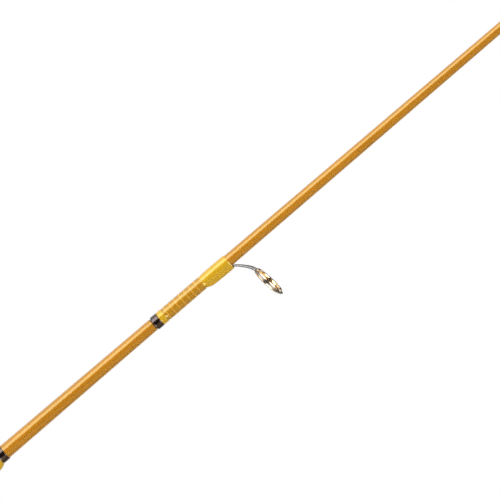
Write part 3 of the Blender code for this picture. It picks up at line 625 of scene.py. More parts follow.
def thread_finish(settings, name, colour, contrast, gloss, inlay=None):
    """Wound thread under clear finish, with one ridge a turn and silky strands along it.

    The contrast is between its shades, and an inlay of lighter turns is (first X, spacing).
    """
    finish = Finish(name, colour, 0.42)
    x, _, _ = finish.axes()
    angle = finish.angle_round_rod()
    phase = finish.math("ADD", finish.math("MULTIPLY", x, math.tau / settings.pitch), angle)
    ridge = finish.math("MULTIPLY_ADD", finish.math("COSINE", phase), 0.5, 0.5)
    strands = finish.noise(1.0, 3.0, 0.65, finish.scaled(9000.0, 420.0, 420.0))
    drift = finish.noise(1.0, 2.0, 0.5, finish.scaled(700.0, 90.0, 90.0))
    tone = finish.math("ADD", finish.math("MULTIPLY", ridge, 0.55), finish.math("MULTIPLY", strands, 0.45))
    tone = finish.math("ADD", tone, finish.ramp(drift, 0.3, 0.7, -0.12, 0.12))
    dark, light = scaled_colour(colour, 1 - contrast), scaled_colour(colour, 1 + contrast)
    shade = finish.mix(tone, dark, light)
    if inlay is not None:
        first, spacing = inlay
        steps = finish.math("DIVIDE", finish.math("SUBTRACT", x, first), spacing)
        line = finish.ramp(finish.from_nearest(steps), 0.05, 0.10, 1.0, 0.0)
        pale = blended(scaled_colour(colour, 1.4), (0.6, 0.45, 0.14), 0.15)
        shade = finish.mix(line, shade, pale)
    finish.colour(shade)
    finish.roughness(finish.ramp(strands, 0.3, 0.7, 0.12, 0.2))
    finish.bump(ridge, 0.02 * MM, 0.1)
    finish.gloss(0.8, gloss)
    if gloss is not BLACK_GLOSS:
        finish.sheen(0.15, VARNISH_EDGE)
    finish.coat(0.4, 0.03)
    return finish.material


def steel_finish(settings, name="polished_steel", grain=1.0, shade=1.0):
    """Polished stainless steel with hair-fine polishing marks."""
    base = scaled_colour(tuple(settings.steel), shade)
    finish = Finish(name, base, 0.16, 0.85)
    marks = finish.noise(1.0, 4.0, 0.6, finish.scaled(900.0, 5200.0 * grain, 900.0))
    cloud = finish.noise(380.0, 2.0, 0.5)
    finish.two_tones(finish.ramp(marks, 0.3, 0.7), base, 0.9, 1.08)
    finish.roughness(finish.ramp(cloud, 0.3, 0.7, 0.2, 0.3))
    finish.bump(marks, 0.006 * MM, 0.4)
    return finish.material


def gold_ring_finish(settings):
    """Mirror-polished gold-coloured ring with faint lapping marks."""
    base = tuple(settings.ring)
    finish = Finish("gold_ring", base, settings.ring_roughness, 1.0)
    marks = finish.noise(1.0, 3.0, 0.55, finish.scaled(4200.0, 500.0, 500.0))
    cloud = finish.noise(300.0, 2.0, 0.5)
    finish.two_tones(finish.ramp(marks, 0.3, 0.7), base, 0.93, 1.05)
    rough = settings.ring_roughness
    finish.roughness(finish.ramp(cloud, 0.3, 0.7, rough * 0.7, rough * 1.6))
    finish.bump(marks, 0.004 * MM, 0.3)
    finish.coat(0.3, 0.03)
    return finish.material


def anodised_finish(settings):
    """Turned and anodised aluminium, with lathe lines round it."""
    base = tuple(settings.trim)
    finish = Finish("gold_anodised", base, 0.25, 1.0)
    lines = finish.noise(1.0, 2.0, 0.6, finish.scaled(9000.0, 30.0, 30.0))
    finish.two_tones(finish.ramp(lines, 0.3, 0.7), base, 0.85, 1.08)
    finish.roughness(finish.ramp(lines, 0.3, 0.7, 0.16, 0.32))
    finish.bump(lines, 0.01 * MM, 0.5)
    return finish.material


def cork_finish(settings):
    """Sanded cork rings glued end to end, each its own tone, with dark pits and filled lenticels."""
    base = tuple(settings.cork)
    finish = Finish("cork", base, 0.78)
    x, _, _ = finish.axes()
    steps = finish.math("DIVIDE", finish.math("ADD", x, SEAT_CENTRE), settings.cork_ring)
    number = finish.math("FLOOR", steps)
    wobble = finish.noise(1.0, 0.0, 0.5, finish.math("MULTIPLY", number, 7.31))
    seam = finish.ramp(finish.from_nearest(steps), 0.008, 0.022, 1.0, 0.0)
    grain = finish.noise(520.0, 5.0, 0.65)
    granules = finish.cells(900.0)
    cloud = finish.noise(75.0, 3.0, 0.55)
    light = blended(base, (0.78, 0.56, 0.33), 0.35)
    dark = scaled_colour(base, 0.62)
    shade = finish.mix(finish.ramp(grain, 0.3, 0.7), dark, light)
    shade = finish.mix(finish.ramp(granules, 0.1, 0.75, 0.30, 0.0), shade, scaled_colour(base, 0.55))
    shade = finish.mix(finish.ramp(wobble, 0.3, 0.7, 0.0, 0.40), shade, scaled_colour(base, 0.72))
    rust = blended(base, (0.42, 0.20, 0.09), 0.6)
    shade = finish.mix(finish.ramp(cloud, 0.4, 0.75, 0.0, 0.30), shade, rust)
    pores = finish.noise(1.0, 3.0, 0.6, finish.scaled(240.0, 560.0, 560.0))
    pits = finish.ramp(pores, 0.63, 0.70)
    specks = finish.ramp(finish.cells(330.0), 0.06, 0.13, 1.0, 0.0)
    hollow = finish.math("MAXIMUM", pits, specks)
    shade = finish.mix(finish.math("MULTIPLY", hollow, 0.85), shade, (0.13, 0.06, 0.025))
    shade = finish.mix(finish.math("MULTIPLY", seam, 0.65), shade, (0.20, 0.10, 0.045))
    finish.colour(shade)
    finish.roughness(finish.ramp(hollow, 0.0, 1.0, 0.72, 0.95))
    finish.bump(finish.math("SUBTRACT", finish.math("MULTIPLY", grain, 0.35), hollow), 0.22 * MM, 0.8)
    finish.bump(finish.math("MULTIPLY", seam, -1.0), 0.08 * MM, 0.7)
    finish.shader.inputs["Specular IOR Level"].default_value = 0.3
    return finish.material


def rubber_finish():
    """Moulded black rubber with a fine matt grain."""
    base = (0.018, 0.017, 0.016)
    finish = Finish("black_rubber", base, 0.62)
    grain = finish.noise(2600.0, 3.0, 0.6)
    scuffs = finish.noise(160.0, 4.0, 0.6)
    finish.colour(finish.mix(finish.ramp(scuffs, 0.5, 0.75), base, (0.05, 0.047, 0.044)))
    finish.roughness(finish.ramp(scuffs, 0.3, 0.7, 0.5, 0.72))
    finish.bump(grain, 0.05 * MM, 0.6)
    return finish.material


def graphite_finish(settings):
    """Satin graphite-filled plastic with faint moulding flow."""
    base = tuple(settings.seat)
    finish = Finish("graphite_plastic", base, 0.34)
    grain = finish.noise(3200.0, 2.0, 0.55)
    flow = finish.noise(1.0, 4.0, 0.6, finish.scaled(60.0, 420.0, 420.0))
    finish.colour(finish.mix(finish.ramp(flow, 0.35, 0.75), base, scaled_colour(base, 2.1)))
    finish.roughness(finish.ramp(flow, 0.3, 0.7, 0.26, 0.42))
    finish.bump(grain, 0.02 * MM, 0.4)
    finish.coat(0.15, 0.12)
    return finish.material


def foam_finish():
    """Rigid foam of the bushes under the reel seat."""
    finish = Finish("arbor_foam", (0.72, 0.69, 0.60), 0.9)
    bubbles = finish.cells(1500.0)
    finish.colour(finish.mix(finish.ramp(bubbles, 0.1, 0.6), (0.50, 0.47, 0.39), (0.78, 0.75, 0.66)))
    finish.bump(bubbles, 0.12 * MM, 0.8)
    return finish.material


FINISHES = {}


def finishes():
    """Makes every material once and keeps them by a short name."""
    made = FINISHES
    if not made:
        scene = bpy.context.scene
        blank, thread = scene.rod_blank, scene.rod_thread
        handle, guide = scene.rod_handle, scene.rod_guides
        low, _ = span("ferrule_wrap")
        inlay = (low + thread.ring_spacing / 2, thread.ring_spacing)
        made["blank"] = glass_fibre_finish(blank)
        made["spigot"] = spigot_finish(blank)
        made["yellow"] = thread_finish(thread, "yellow_thread", tuple(thread.yellow), 0.05, YELLOW_GLOSS)
        made["amber"] = thread_finish(thread, "amber_thread", tuple(thread.amber), 0.05, AMBER_GLOSS, inlay)
        made["black"] = thread_finish(thread, "black_thread", tuple(thread.black), 0.4, BLACK_GLOSS)
        made["steel"] = steel_finish(guide)
        made["hood"] = steel_finish(guide, "brushed_steel", 2.0, 1.7)
        made["ring"] = gold_ring_finish(guide)
        made["anodised"] = anodised_finish(handle)
        made["cork"] = cork_finish(handle)
        made["rubber"] = rubber_finish()
        made["seat"] = graphite_finish(handle)
        made["foam"] = foam_finish()
    return made


# ---- Mesh tools ----


def add_piece(name, points, faces, material, body, replaced=(), sharp=40):
    """One mesh piece that rides on a body and stands for the frame's nodes."""
    mesh = bpy.data.meshes.new(name)
    mesh.from_pydata([tuple(map(float, p)) for p in points], [], faces)
    shape = bmesh.new()
    shape.from_mesh(mesh)
    bmesh.ops.recalc_face_normals(shape, faces=shape.faces)
    shape.to_mesh(mesh)
    shape.free()
    mesh.shade_smooth()
    mesh.set_sharp_from_angle(angle=math.radians(sharp))
    mesh.materials.append(material)
    piece = bpy.data.objects.new(name, mesh)
    bpy.context.scene.collection.objects.link(piece)
    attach(piece, body)
    if replaced:
        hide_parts(*replaced)
    return piece


def grid_faces(rows, columns, wrap_rows=False):
    """Quads over a grid of rows that each close on themselves."""
    faces = []
    for i in range(rows if wrap_rows else rows - 1):
        k = (i + 1) % rows
        for j in range(columns):
            m = (j + 1) % columns
            faces.append((i * columns + j, i * columns + m, k * columns + m, k * columns + j))
    return faces


def shell_of_rings(rings, closed_ends):
    """Points and faces of a tube through equal rings: capped at both ends, or joined end to end."""
    rings = np.asarray(rings)
    rows, columns, _ = rings.shape
    faces = grid_faces(rows, columns, wrap_rows=not closed_ends)
    if closed_ends:
        faces.append(tuple(range(columns)))
        faces.append(tuple(range((rows - 1) * columns, rows * columns)))
    return rings.reshape(-1, 3), faces


def circle_ring(x, radius, sides):
    angles = np.arange(sides) * math.tau / sides
    return np.stack([np.full(sides, x), radius * np.sin(angles), radius * np.cos(angles)], axis=1)


def lathe(name, outline, material, body, replaced=(), sides=ROUND_SIDES):
    """Turns a closed loop of (x, radius) points about the rod's axis."""
    rings = [circle_ring(x, radius, sides) for x, radius in outline]
    points, faces = shell_of_rings(rings, False)
    return add_piece(name, points, faces, material, body, replaced)


def arc(x, radius, size, start, end, steps=5):
    """A rounded corner of an outline, as points about (x, radius) from one angle to another, in degrees."""
    turn = [math.radians(start + (end - start) * i / steps) for i in range(steps + 1)]
    return [(x + size * math.cos(a), radius + size * math.sin(a)) for a in turn]


def bore_points(start, end):
    """The inside of a piece that fits on the blank, from its end back to its start."""
    return [(x, radius_at_x(x) + FIT) for x in (end, start)]


def smooth_rows(values, passes, wrap):
    """Softens a grid along its first axis."""
    values = np.array(values, dtype=float)
    for _ in range(passes):
        if wrap:
            before, after = np.roll(values, 1, axis=0), np.roll(values, -1, axis=0)
        else:
            before = np.concatenate([values[:1], values[:-1]])
            after = np.concatenate([values[1:], values[-1:]])
        values = (before + 2 * values + after) / 4
    return values


def hull_radius(angle, circle, half_width, depth):
    """Distance from the axis to a thread pulled tight round a circle and a foot below it.

    The angle is from straight down.
    """
    corner = math.hypot(half_width, depth)
    angle = abs(angle)
    if corner <= circle:
        return circle
    corner_angle = math.atan2(half_width, depth)
    tangent_angle = corner_angle + math.acos(circle / corner)
    if angle <= corner_angle:
        return max(circle, depth / math.cos(angle))
    if angle <= tangent_angle:
        return circle / math.cos(tangent_angle - angle)
    return circle


def polar_rings(xs, radii):
    """Rings of points from a grid of radii, by X and by the angle from straight down."""
    sides = radii.shape[1]
    angles = np.arange(sides) * math.tau / sides
    rings = np.zeros((len(xs), sides, 3))
    rings[:, :, 0] = np.asarray(xs)[:, None]
    rings[:, :, 1] = radii * np.sin(angles)
    rings[:, :, 2] = -radii * np.cos(angles)
    return rings


def angles_from_down(sides):
    """Angles round the rod from straight down, within -pi and pi."""
    angles = np.arange(sides) * math.tau / sides
    return np.where(angles > math.pi, angles - math.tau, angles)


def swept(path, radius, closed=False):
    """Points and faces of a round wire along a path."""
    points = [Vector(p) for p in path]
    count = len(points)
    rings = []
    for i, point in enumerate(points):
        before = points[i - 1] if i or closed else points[0]
        after = points[(i + 1) % count] if closed or i < count - 1 else points[-1]
        along = (after - before).normalized()
        across = along.cross(Vector((1, 0, 0)))
        if across.length < 1e-6:
            across = Vector((0, 0, 1))
        across.normalize()
        wide = across.cross(along).normalized()
        ring = []
        for j in range(WIRE_SIDES):
            angle = math.tau * j / WIRE_SIDES
            ring.append(point + wide * (radius * math.cos(angle)) + across * (radius * math.sin(angle)))
        rings.append([tuple(v) for v in ring])
    return shell_of_rings(rings, not closed)


def joined(*shells):
    """Several closed shells as one list of points and faces."""
    points, faces = [], []
    for more_points, more_faces in shells:
        offset = len(points)
        points.extend([tuple(p) for p in more_points])
        faces.extend([tuple(offset + i for i in face) for face in more_faces])
    return points, faces


def bezier(controls, steps):
    """Points along a cubic curve with four control points."""
    p0, p1, p2, p3 = (Vector(p) for p in controls)
    path = []
    for i in range(steps + 1):
        t = i / steps
        u = 1 - t
        path.append(u**3 * p0 + 3 * u * u * t * p1 + 3 * u * t * t * p2 + t**3 * p3)
    return path


# ---- Blank ----


def blank_outline(start, end):
    count = int((end - start) / (10 * MM))
    return [(x, radius_at_x(x)) for x in np.linspace(start, end, count)]


def build_butt_blank():
    start, end = span("butt_blank")
    outside = blank_outline(start, end - BLANK_RIM)
    outside += arc(end - BLANK_RIM, radius_at_x(end) - BLANK_RIM, BLANK_RIM, 90, 0, 4)
    socket = SPIGOT_RADIUS + FIT
    depth = x_at(JOINT) - BUTT_SOCKET
    bore = [(end, socket), (depth, socket), (depth - 30 * MM, socket + 0.4 * MM)]
    bore += [(start, radius_at_x(start) - 1.5 * MM)]
    lathe("butt_blank_finish", outside + bore, finishes()["blank"], BUTT, ["butt_blank"])


def build_tip_blank():
    start, end = span("tip_blank")
    outside = arc(start + BLANK_RIM, radius_at_x(start) - BLANK_RIM, BLANK_RIM, 180, 90, 4)
    outside += blank_outline(start + BLANK_RIM, end)
    socket_end = x_at(JOINT) + TIP_SOCKET
    clear = SPIGOT_RADIUS + 0.05 * MM
    narrow = clear - SPIGOT_TAPER * TIP_SOCKET
    bore = [(end, 0.42 * MM), (x_at(1208 * MM), 1.75 * MM), (socket_end, narrow), (start, clear)]
    lathe("tip_blank_finish", outside + bore, finishes()["blank"], TIP, ["tip_blank"])


def build_spigot():
    start, end = span("ferrule_spigot")
    nose = 0.5 * MM
    tip_radius = SPIGOT_RADIUS - SPIGOT_TAPER * (end - x_at(JOINT))
    outside = [(start, SPIGOT_RADIUS), (x_at(JOINT), SPIGOT_RADIUS), (end - 1.5 * MM, tip_radius)]
    outside += arc(end - nose, tip_radius - nose, nose, 80, 0, 5)
    bore = [(end, tip_radius - 1.0 * MM), (start, SPIGOT_RADIUS - 1.0 * MM)]
    lathe("spigot_finish", outside + bore, finishes()["spigot"], BUTT, ["ferrule_spigot"])


# ---- Thread wraps ----


def band_outline(start, end, thickness):
    """A wound band with rounded shoulders and a slight crown of clear finish."""
    count = 28
    outline = []
    for i in range(count + 1):
        share = i / count
        x = start + (end - start) * share
        inset = min(x - start, end - x)
        shoulder = min(1.0, inset / BAND_SLOPE)
        edge = math.sqrt(max(0.0, 1 - (1 - shoulder) ** 2))
        rise = thickness * (0.30 + 0.70 * edge) + BAND_CROWN * math.sin(math.pi * share)
        outline.append((x, radius_at_x(x) + rise))
    return outline


def build_band(name, start, end, thickness, colour, body, replaced=()):
    outline = band_outline(start, end, thickness) + bore_points(start, end)
    lathe(name, outline, finishes()[colour], body, replaced)


def foot_thickness(station, foot):
    """Thickness of a foot at a station, ground thin at the toe. A foot is (toe, heel, full thickness)."""
    toe, heel, full = foot
    share = (station - toe) / (heel - toe)
    if share < 0:
        return 0.0
    if share < TOE_RAMP:
        return full * (TOE_SHARE + (RAMP_SHARE - TOE_SHARE) * share / TOE_RAMP)
    return full * (RAMP_SHARE + (1 - RAMP_SHARE) * (share - TOE_RAMP) / (1 - TOE_RAMP))


def build_foot_wrap(node, foot, half_width):
    """Thread bound over a foot, softened and crowned by its clear finish."""
    body = TIP if node.startswith("guide") else BUTT
    start, end = span(node)
    crown = bpy.context.scene.rod_thread.crown
    count = 44
    sides = 72
    xs = np.linspace(start, end, count)
    angles = angles_from_down(sides)
    radii = np.zeros((count, sides))
    for i, x in enumerate(xs):
        station = x + SEAT_CENTRE
        circle = blank_radius(station) + FIT
        thick = foot_thickness(station, foot)
        depth = circle + thick + 2 * FIT if thick else circle
        radii[i] = [hull_radius(a, circle, half_width, depth) for a in angles]
    radii = smooth_rows(radii, 3, False)
    radii = smooth_rows(radii.T, 5, True).T
    for i, x in enumerate(xs):
        inset = min(1.0, (x - start) / WRAP_START_SLOPE, (end - x) / WRAP_END_SLOPE)
        edge = math.sqrt(max(0.0, 1 - (1 - inset) ** 2))
        radii[i] += WRAP_THICKNESS * (0.3 + 0.7 * edge) + crown * math.sin(math.pi * i / (count - 1))
    inner_x = np.array([end, start])
    inner = np.array([[radius_at_x(x) + FIT] * sides for x in inner_x])
    rings = np.concatenate([polar_rings(xs, radii), polar_rings(inner_x, inner)])
    points, faces = shell_of_rings(rings, False)
    add_piece(node + "_finish", points, faces, finishes()["yellow"], body, [node])


def build_ferrule_bands():
    for node, thickness, colour in (
        ("ferrule_trim_black", 0.46 * MM, "black"),
        ("ferrule_trim_yellow", 0.40 * MM, "yellow"),
        ("ferrule_wrap", 0.34 * MM, "amber"),
    ):
        start, end = span(node)
        build_band(node + "_finish", start, end, thickness, colour, TIP, [node])


def build_guide_trims():
    """A narrow black band on the butt side of each small guide's wrap."""
    for name, *_ in GUIDES[1:]:
        wrap_start, _ = span(name + "_wrap")
        start, end = wrap_start - GUIDE_TRIM_LENGTH, wrap_start - 0.02 * MM
        build_band(name + "_trim", start, end, GUIDE_TRIM_THICKNESS, "black", TIP)


# ---- Guides ----


def hoop_point(centre, lean, radius, angle):
    """A point of a hoop, by its angle from the side nearest the blank, towards +Y."""
    away = Vector((math.sin(lean), 0, -math.cos(lean)))
    return centre - away * (radius * math.cos(angle)) + Vector((0, radius * math.sin(angle), 0))


def hoop_path(centre, lean, radius, start_angle, steps):
    sweep = math.tau - 2 * start_angle
    return [hoop_point(centre, lean, radius, start_angle + sweep * i / steps) for i in range(steps + 1)]


def build_ring(node, centre, lean, outer, body):
    """A polished ring whose bore swells towards the line, with rounded lips on both sides."""
    half = outer * RING_WIDTH / 2
    wall = outer * RING_WALL
    profile = []
    steps = 22
    for i in range(steps):
        turn = math.tau * i / steps
        across, along = math.cos(turn), math.sin(turn)
        a = half * math.copysign(abs(along) ** RING_SQUARENESS, along)
        r = outer - wall / 2 + wall / 2 * math.copysign(abs(across) ** RING_SQUARENESS, across)
        profile.append((a, r))
    axis = Vector((math.cos(lean), 0, math.sin(lean)))
    rings = []
    for j in range(ROUND_SIDES):
        angle = math.tau * j / ROUND_SIDES
        rings.append([tuple(hoop_point(centre, lean, r, angle) + axis * a) for a, r in profile])
    points, faces = shell_of_rings(rings, False)
    add_piece(node + "_finish", points, faces, finishes()["ring"], body, [node])


def build_steel(node, shells, body):
    """A polished steel piece made of several closed shells."""
    points, faces = joined(*shells)
    add_piece(node + "_finish", points, faces, finishes()["steel"], body, [node])


def foot_blade(foot, wide):
    """The ground foot of a guide, lying along the underside of the blank."""
    toe, heel, _ = foot
    sections = []
    for i in range(13):
        station = toe + (heel - toe) * i / 12
        thick = max(foot_thickness(station, foot), 0.12 * MM)
        top = -blank_radius(station) - 2 * FIT
        bevel = min(0.25 * MM, thick * 0.45)
        x = x_at(station)
        sections.append(
            [
                (x, -wide, top),
                (x, wide, top),
                (x, wide, top - thick + bevel),
                (x, wide - bevel, top - thick),
                (x, -wide + bevel, top - thick),
                (x, -wide, top - thick + bevel),
            ]
        )
    return shell_of_rings(sections, True)


def leg_curve(leaves, base, bends, steps):
    """A leg from the hoop to the foot. Bends are the shares of its rise that set the two ends' directions."""
    rise = leaves - base
    first, last = bends
    return bezier(
        (
            leaves,
            leaves + Vector(tuple(s * r for s, r in zip(first, rise))),
            base + Vector(tuple(s * r for s, r in zip(last, rise))),
            base,
        ),
        steps,
    )


def softened_path(points, passes):
    """Rounds the kinks of a path while its ends stay in place."""
    values = np.array([tuple(p) for p in points])
    for _ in range(passes):
        values[1:-1] = (values[:-2] + 2 * values[1:-1] + values[2:]) / 4
    return [Vector(tuple(v)) for v in values]


def resampled(points, count):
    """Evenly spaced points along a path."""
    values = np.array([tuple(p) for p in points])
    lengths = np.concatenate([[0], np.cumsum(np.linalg.norm(np.diff(values, axis=0), axis=1))])
    wanted = np.linspace(0, lengths[-1], count)
    return [Vector(tuple(np.interp(w, lengths, values[:, k]) for k in range(3))) for w in wanted]


def mirrored(path):
    """A path on the other side of the rod, run backwards."""
    return [Vector((p.x, -p.y, p.z)) for p in path[::-1]]


def build_single_foot_guide(name, station, radius, drop, wire_radius):
    centre = Vector((x_at(station), 0, -drop))
    surface = blank_radius(station)
    heel = station - (drop - surface) * GUIDE_REACH
    toe = heel - (FOOT_BASE_LENGTH + (drop - surface) * FOOT_LENGTH_SHARE)
    foot = (toe, heel, FOOT_THICKNESS * wire_radius)
    hoop = radius - wire_radius
    leaves = hoop_point(centre, GUIDE_LEAN, hoop, LEG_ANGLE)
    base = Vector((x_at(heel), wire_radius * LEG_SPREAD, -blank_radius(heel) - 2 * FIT - wire_radius))
    leg = leg_curve(leaves, base, LEG_BENDS, 16)
    inside = base + Vector((-2.2 * wire_radius, 0, 0))
    near = [inside, *leg[::-1][:-1]]
    loop = hoop_path(centre, GUIDE_LEAN, hoop, LEG_ANGLE, 90)
    path = softened_path(resampled(near + loop + mirrored(near), 190), 3)
    wide = FOOT_HALF_WIDTH * wire_radius
    build_steel(name + "_frame", [swept(path, wire_radius), foot_blade(foot, wide)], TIP)
    outer = radius - 2 * wire_radius - RING_FIT
    build_ring(name + "_ring", centre, GUIDE_LEAN, outer, TIP)
    wrap_start, _ = span(name + "_wrap")
    bulge = max(toe - 1.6 * MM, wrap_start + SEAT_CENTRE + 0.7 * MM)
    build_foot_wrap(name + "_wrap", (bulge, heel, foot[2]), wide)


def build_stripper():
    centre = Vector((x_at(STRIPPER_STATION), 0, -STRIPPER_DROP))
    hoop = STRIPPER_RADIUS - STRIPPER_WIRE
    wide = FOOT_HALF_WIDTH * STRIPPER_WIRE
    shells = []
    feet = {}
    for side in (-1, 1):
        heel = STRIPPER_STATION + side * STRIPPER_FOOT_START
        feet[side] = (heel + side * STRIPPER_FOOT_LENGTH, heel, FOOT_THICKNESS * STRIPPER_WIRE)
        shells.append(foot_blade(feet[side], wide))

    def leg(side, leave_angle):
        heel = feet[side][1]
        leaves = hoop_point(centre, 0, hoop, leave_angle)
        base = Vector((x_at(heel), STRIPPER_WIRE * LEG_SPREAD, -blank_radius(heel) - 2 * FIT - STRIPPER_WIRE))
        path = leg_curve(leaves, base, STRIPPER_BENDS, 18)
        return [base + Vector((side * 2.5 * STRIPPER_WIRE, 0, 0)), *path[::-1]]

    near = leg(-1, STRIPPER_LEG_ANGLE)
    loop = hoop_path(centre, 0, hoop, STRIPPER_LEG_ANGLE, 100)
    path = softened_path(resampled(near[:-1] + loop + mirrored(near)[1:], 230), 3)
    shells.append(swept(path, STRIPPER_WIRE))
    for flip in (1, -1):
        strut = [Vector((p.x, flip * p.y, p.z)) for p in leg(1, STRIPPER_STRUT_ANGLE)]
        strut = softened_path(resampled(strut, 40), 2)
        shells.append(swept(strut, STRIPPER_WIRE * 0.93))
    build_steel("stripper_frame", shells, BUTT)
    build_ring("stripper_ring", centre, 0, STRIPPER_RADIUS - 2 * STRIPPER_WIRE - RING_FIT, BUTT)
    build_foot_wrap("stripper_wrap_rear", feet[-1], wide)
    build_foot_wrap("stripper_wrap_front", feet[1], wide)
    for node in ("stripper_trim_rear", "stripper_trim_front"):
        start, end = span(node)
        build_band(node + "_finish", start, end, STRIPPER_TRIM_THICKNESS, "black", BUTT, [node])


def build_tip_top():
    tube_start, tube_end = (x_at(station) for station in TIP_TUBE)
    floor = x_at(BLANK_END) + 0.3 * MM
    outside = arc(tube_start + 0.25 * MM, TIP_TUBE_RADIUS - 0.25 * MM, 0.25 * MM, 180, 90)
    outside += arc(tube_end - 0.5 * MM, TIP_TUBE_RADIUS - 0.5 * MM, 0.5 * MM, 90, 5)
    centre_hole = 0.02 * MM
    inside = [(tube_end, centre_hole), (floor, centre_hole), (floor, radius_at_x(floor) + FIT)]
    inside += [(tube_start, radius_at_x(tube_start) + FIT)]
    rings = [circle_ring(x, radius, SMALL_SIDES) for x, radius in outside + inside]
    tube = shell_of_rings(rings, False)
    hoop = TIP_RING_RADIUS - TIP_RING_WIRE
    leaves = hoop_point(TIP_RING_CENTRE, TIP_RING_LEAN, hoop, TIP_LEG_ANGLE)
    base = Vector((tube_end - 6 * MM, TIP_TUBE_RADIUS * 0.92, -TIP_RING_WIRE))
    forward = base + Vector((4 * MM, 0, 0))
    backward = leaves + Vector((-1.4 * MM, 0.5 * MM, 0.9 * MM))
    leg = bezier((base, forward, backward, leaves), 16)
    loop = hoop_path(TIP_RING_CENTRE, TIP_RING_LEAN, hoop, TIP_LEG_ANGLE, 60)
    path = softened_path(resampled(leg[:-1] + loop + mirrored(leg)[1:], 120), 2)
    build_steel("tip_top_frame", [tube, swept(path, TIP_RING_WIRE)], TIP)
    outer = TIP_RING_RADIUS - 2 * TIP_RING_WIRE - RING_FIT
    build_ring("tip_top_ring", TIP_RING_CENTRE, TIP_RING_LEAN, outer, TIP)
    start, end = span("tip_top_wrap")
    build_band("tip_top_wrap_finish", start, end, 0.28 * MM, "yellow", TIP, ["tip_top_wrap"])


# ---- Handle ----


def smooth_outline(points, count):
    """A smooth curve through an outline's points, by steps along X."""
    xs = np.array([p[0] for p in points])
    rs = np.array([p[1] for p in points])
    slopes = np.gradient(rs, xs)
    made = []
    for x in np.linspace(xs[0], xs[-1], count):
        k = min(len(xs) - 2, int(np.searchsorted(xs, x, side="right")) - 1)
        k = max(k, 0)
        width = xs[k + 1] - xs[k]
        t = (x - xs[k]) / width
        low = (1 + 2 * t) * (1 - t) ** 2 * rs[k] + t * (1 - t) ** 2 * width * slopes[k]
        high = t * t * (3 - 2 * t) * rs[k + 1] + t * t * (t - 1) * width * slopes[k + 1]
        made.append((float(x), float(low + high)))
    return made


def cork_outline(points, count, ring_length):
    """A grip's outline with a hairline dip at each glue seam."""
    made = []
    for x, radius in smooth_outline(points, count):
        offset = (x + SEAT_CENTRE) / ring_length
        near = abs(offset - round(offset)) * ring_length
        made.append((x, radius - 0.06 * MM * math.exp(-((near / (0.22 * MM)) ** 2))))
    return made


def build_grips():
    settings = bpy.context.scene.rod_handle
    cork = finishes()["cork"]
    start, end = span("rear_grip")
    shoulder = x_at(24.1 * MM)
    reduced = 11.95 * MM
    body = [
        (shoulder + 0.8 * MM, 13.15 * MM),
        (x_at(70 * MM), 13.3 * MM),
        (x_at(135 * MM), 12.5 * MM),
        (x_at(190 * MM), 12.8 * MM),
        (x_at(216 * MM), 13.35 * MM),
        (end - 0.9 * MM, 13.2 * MM),
    ]
    outline = [(start, reduced), (shoulder, reduced)]
    outline += arc(shoulder + 0.8 * MM, 12.35 * MM, 0.8 * MM, 180, 95)
    outline += cork_outline(body, 620, settings.cork_ring)[1:]
    outline += arc(end - 0.9 * MM, 12.3 * MM, 0.9 * MM, 85, 0)
    outline += bore_points(start, end)
    lathe("rear_grip_finish", outline, cork, BUTT, ["rear_grip"], sides=72)
    start, end = span("fore_grip")
    body = [
        (start + 0.9 * MM, 12.3 * MM),
        (start + 6 * MM, 12.5 * MM),
        (start + 16 * MM, 12.4 * MM),
        (start + 36 * MM, 11.2 * MM),
        (start + 58 * MM, 9.0 * MM),
        (end - 0.8 * MM, 7.75 * MM),
    ]
    outline = arc(start + 0.9 * MM, 11.4 * MM, 0.9 * MM, 180, 95)
    outline += cork_outline(body, 240, settings.cork_ring)
    outline += arc(end - 0.8 * MM, 6.95 * MM, 0.8 * MM, 85, 0)
    outline += bore_points(start, end)
    lathe("fore_grip_finish", outline, cork, BUTT, ["fore_grip"], sides=72)


def build_butt_cap():
    start, end = span("butt_cap")
    radius = CAP_RADIUS
    groove_radius = radius - CAP_GROOVE
    dimple = 3.5 * MM
    outline = [(start + 0.7 * MM, 0.05 * MM), (start + 0.55 * MM, dimple * 0.6)]
    outline += [(start, dimple), (start, 10.5 * MM)]
    outline += arc(start + 3.6 * MM, 10.6 * MM, 3.6 * MM, 180, 90, 12)
    for groove in range(4):
        x = start + (6.2 + 3.1 * groove) * MM
        outline += [(x, radius), (x + 0.25 * MM, groove_radius)]
        outline += [(x + 0.75 * MM, groove_radius), (x + 1.0 * MM, radius)]
    outline += [(end - 1.6 * MM, radius)]
    outline += arc(end - 0.9 * MM, radius - 0.9 * MM, 0.9 * MM, 80, 0)
    floor = start + CAP_FLOOR
    outline += [(end, CAP_SOCKET_RADIUS), (floor, CAP_SOCKET_RADIUS), (floor, 0.05 * MM)]
    lathe("butt_cap_finish", outline, finishes()["rubber"], BUTT, ["butt_cap"], sides=80)


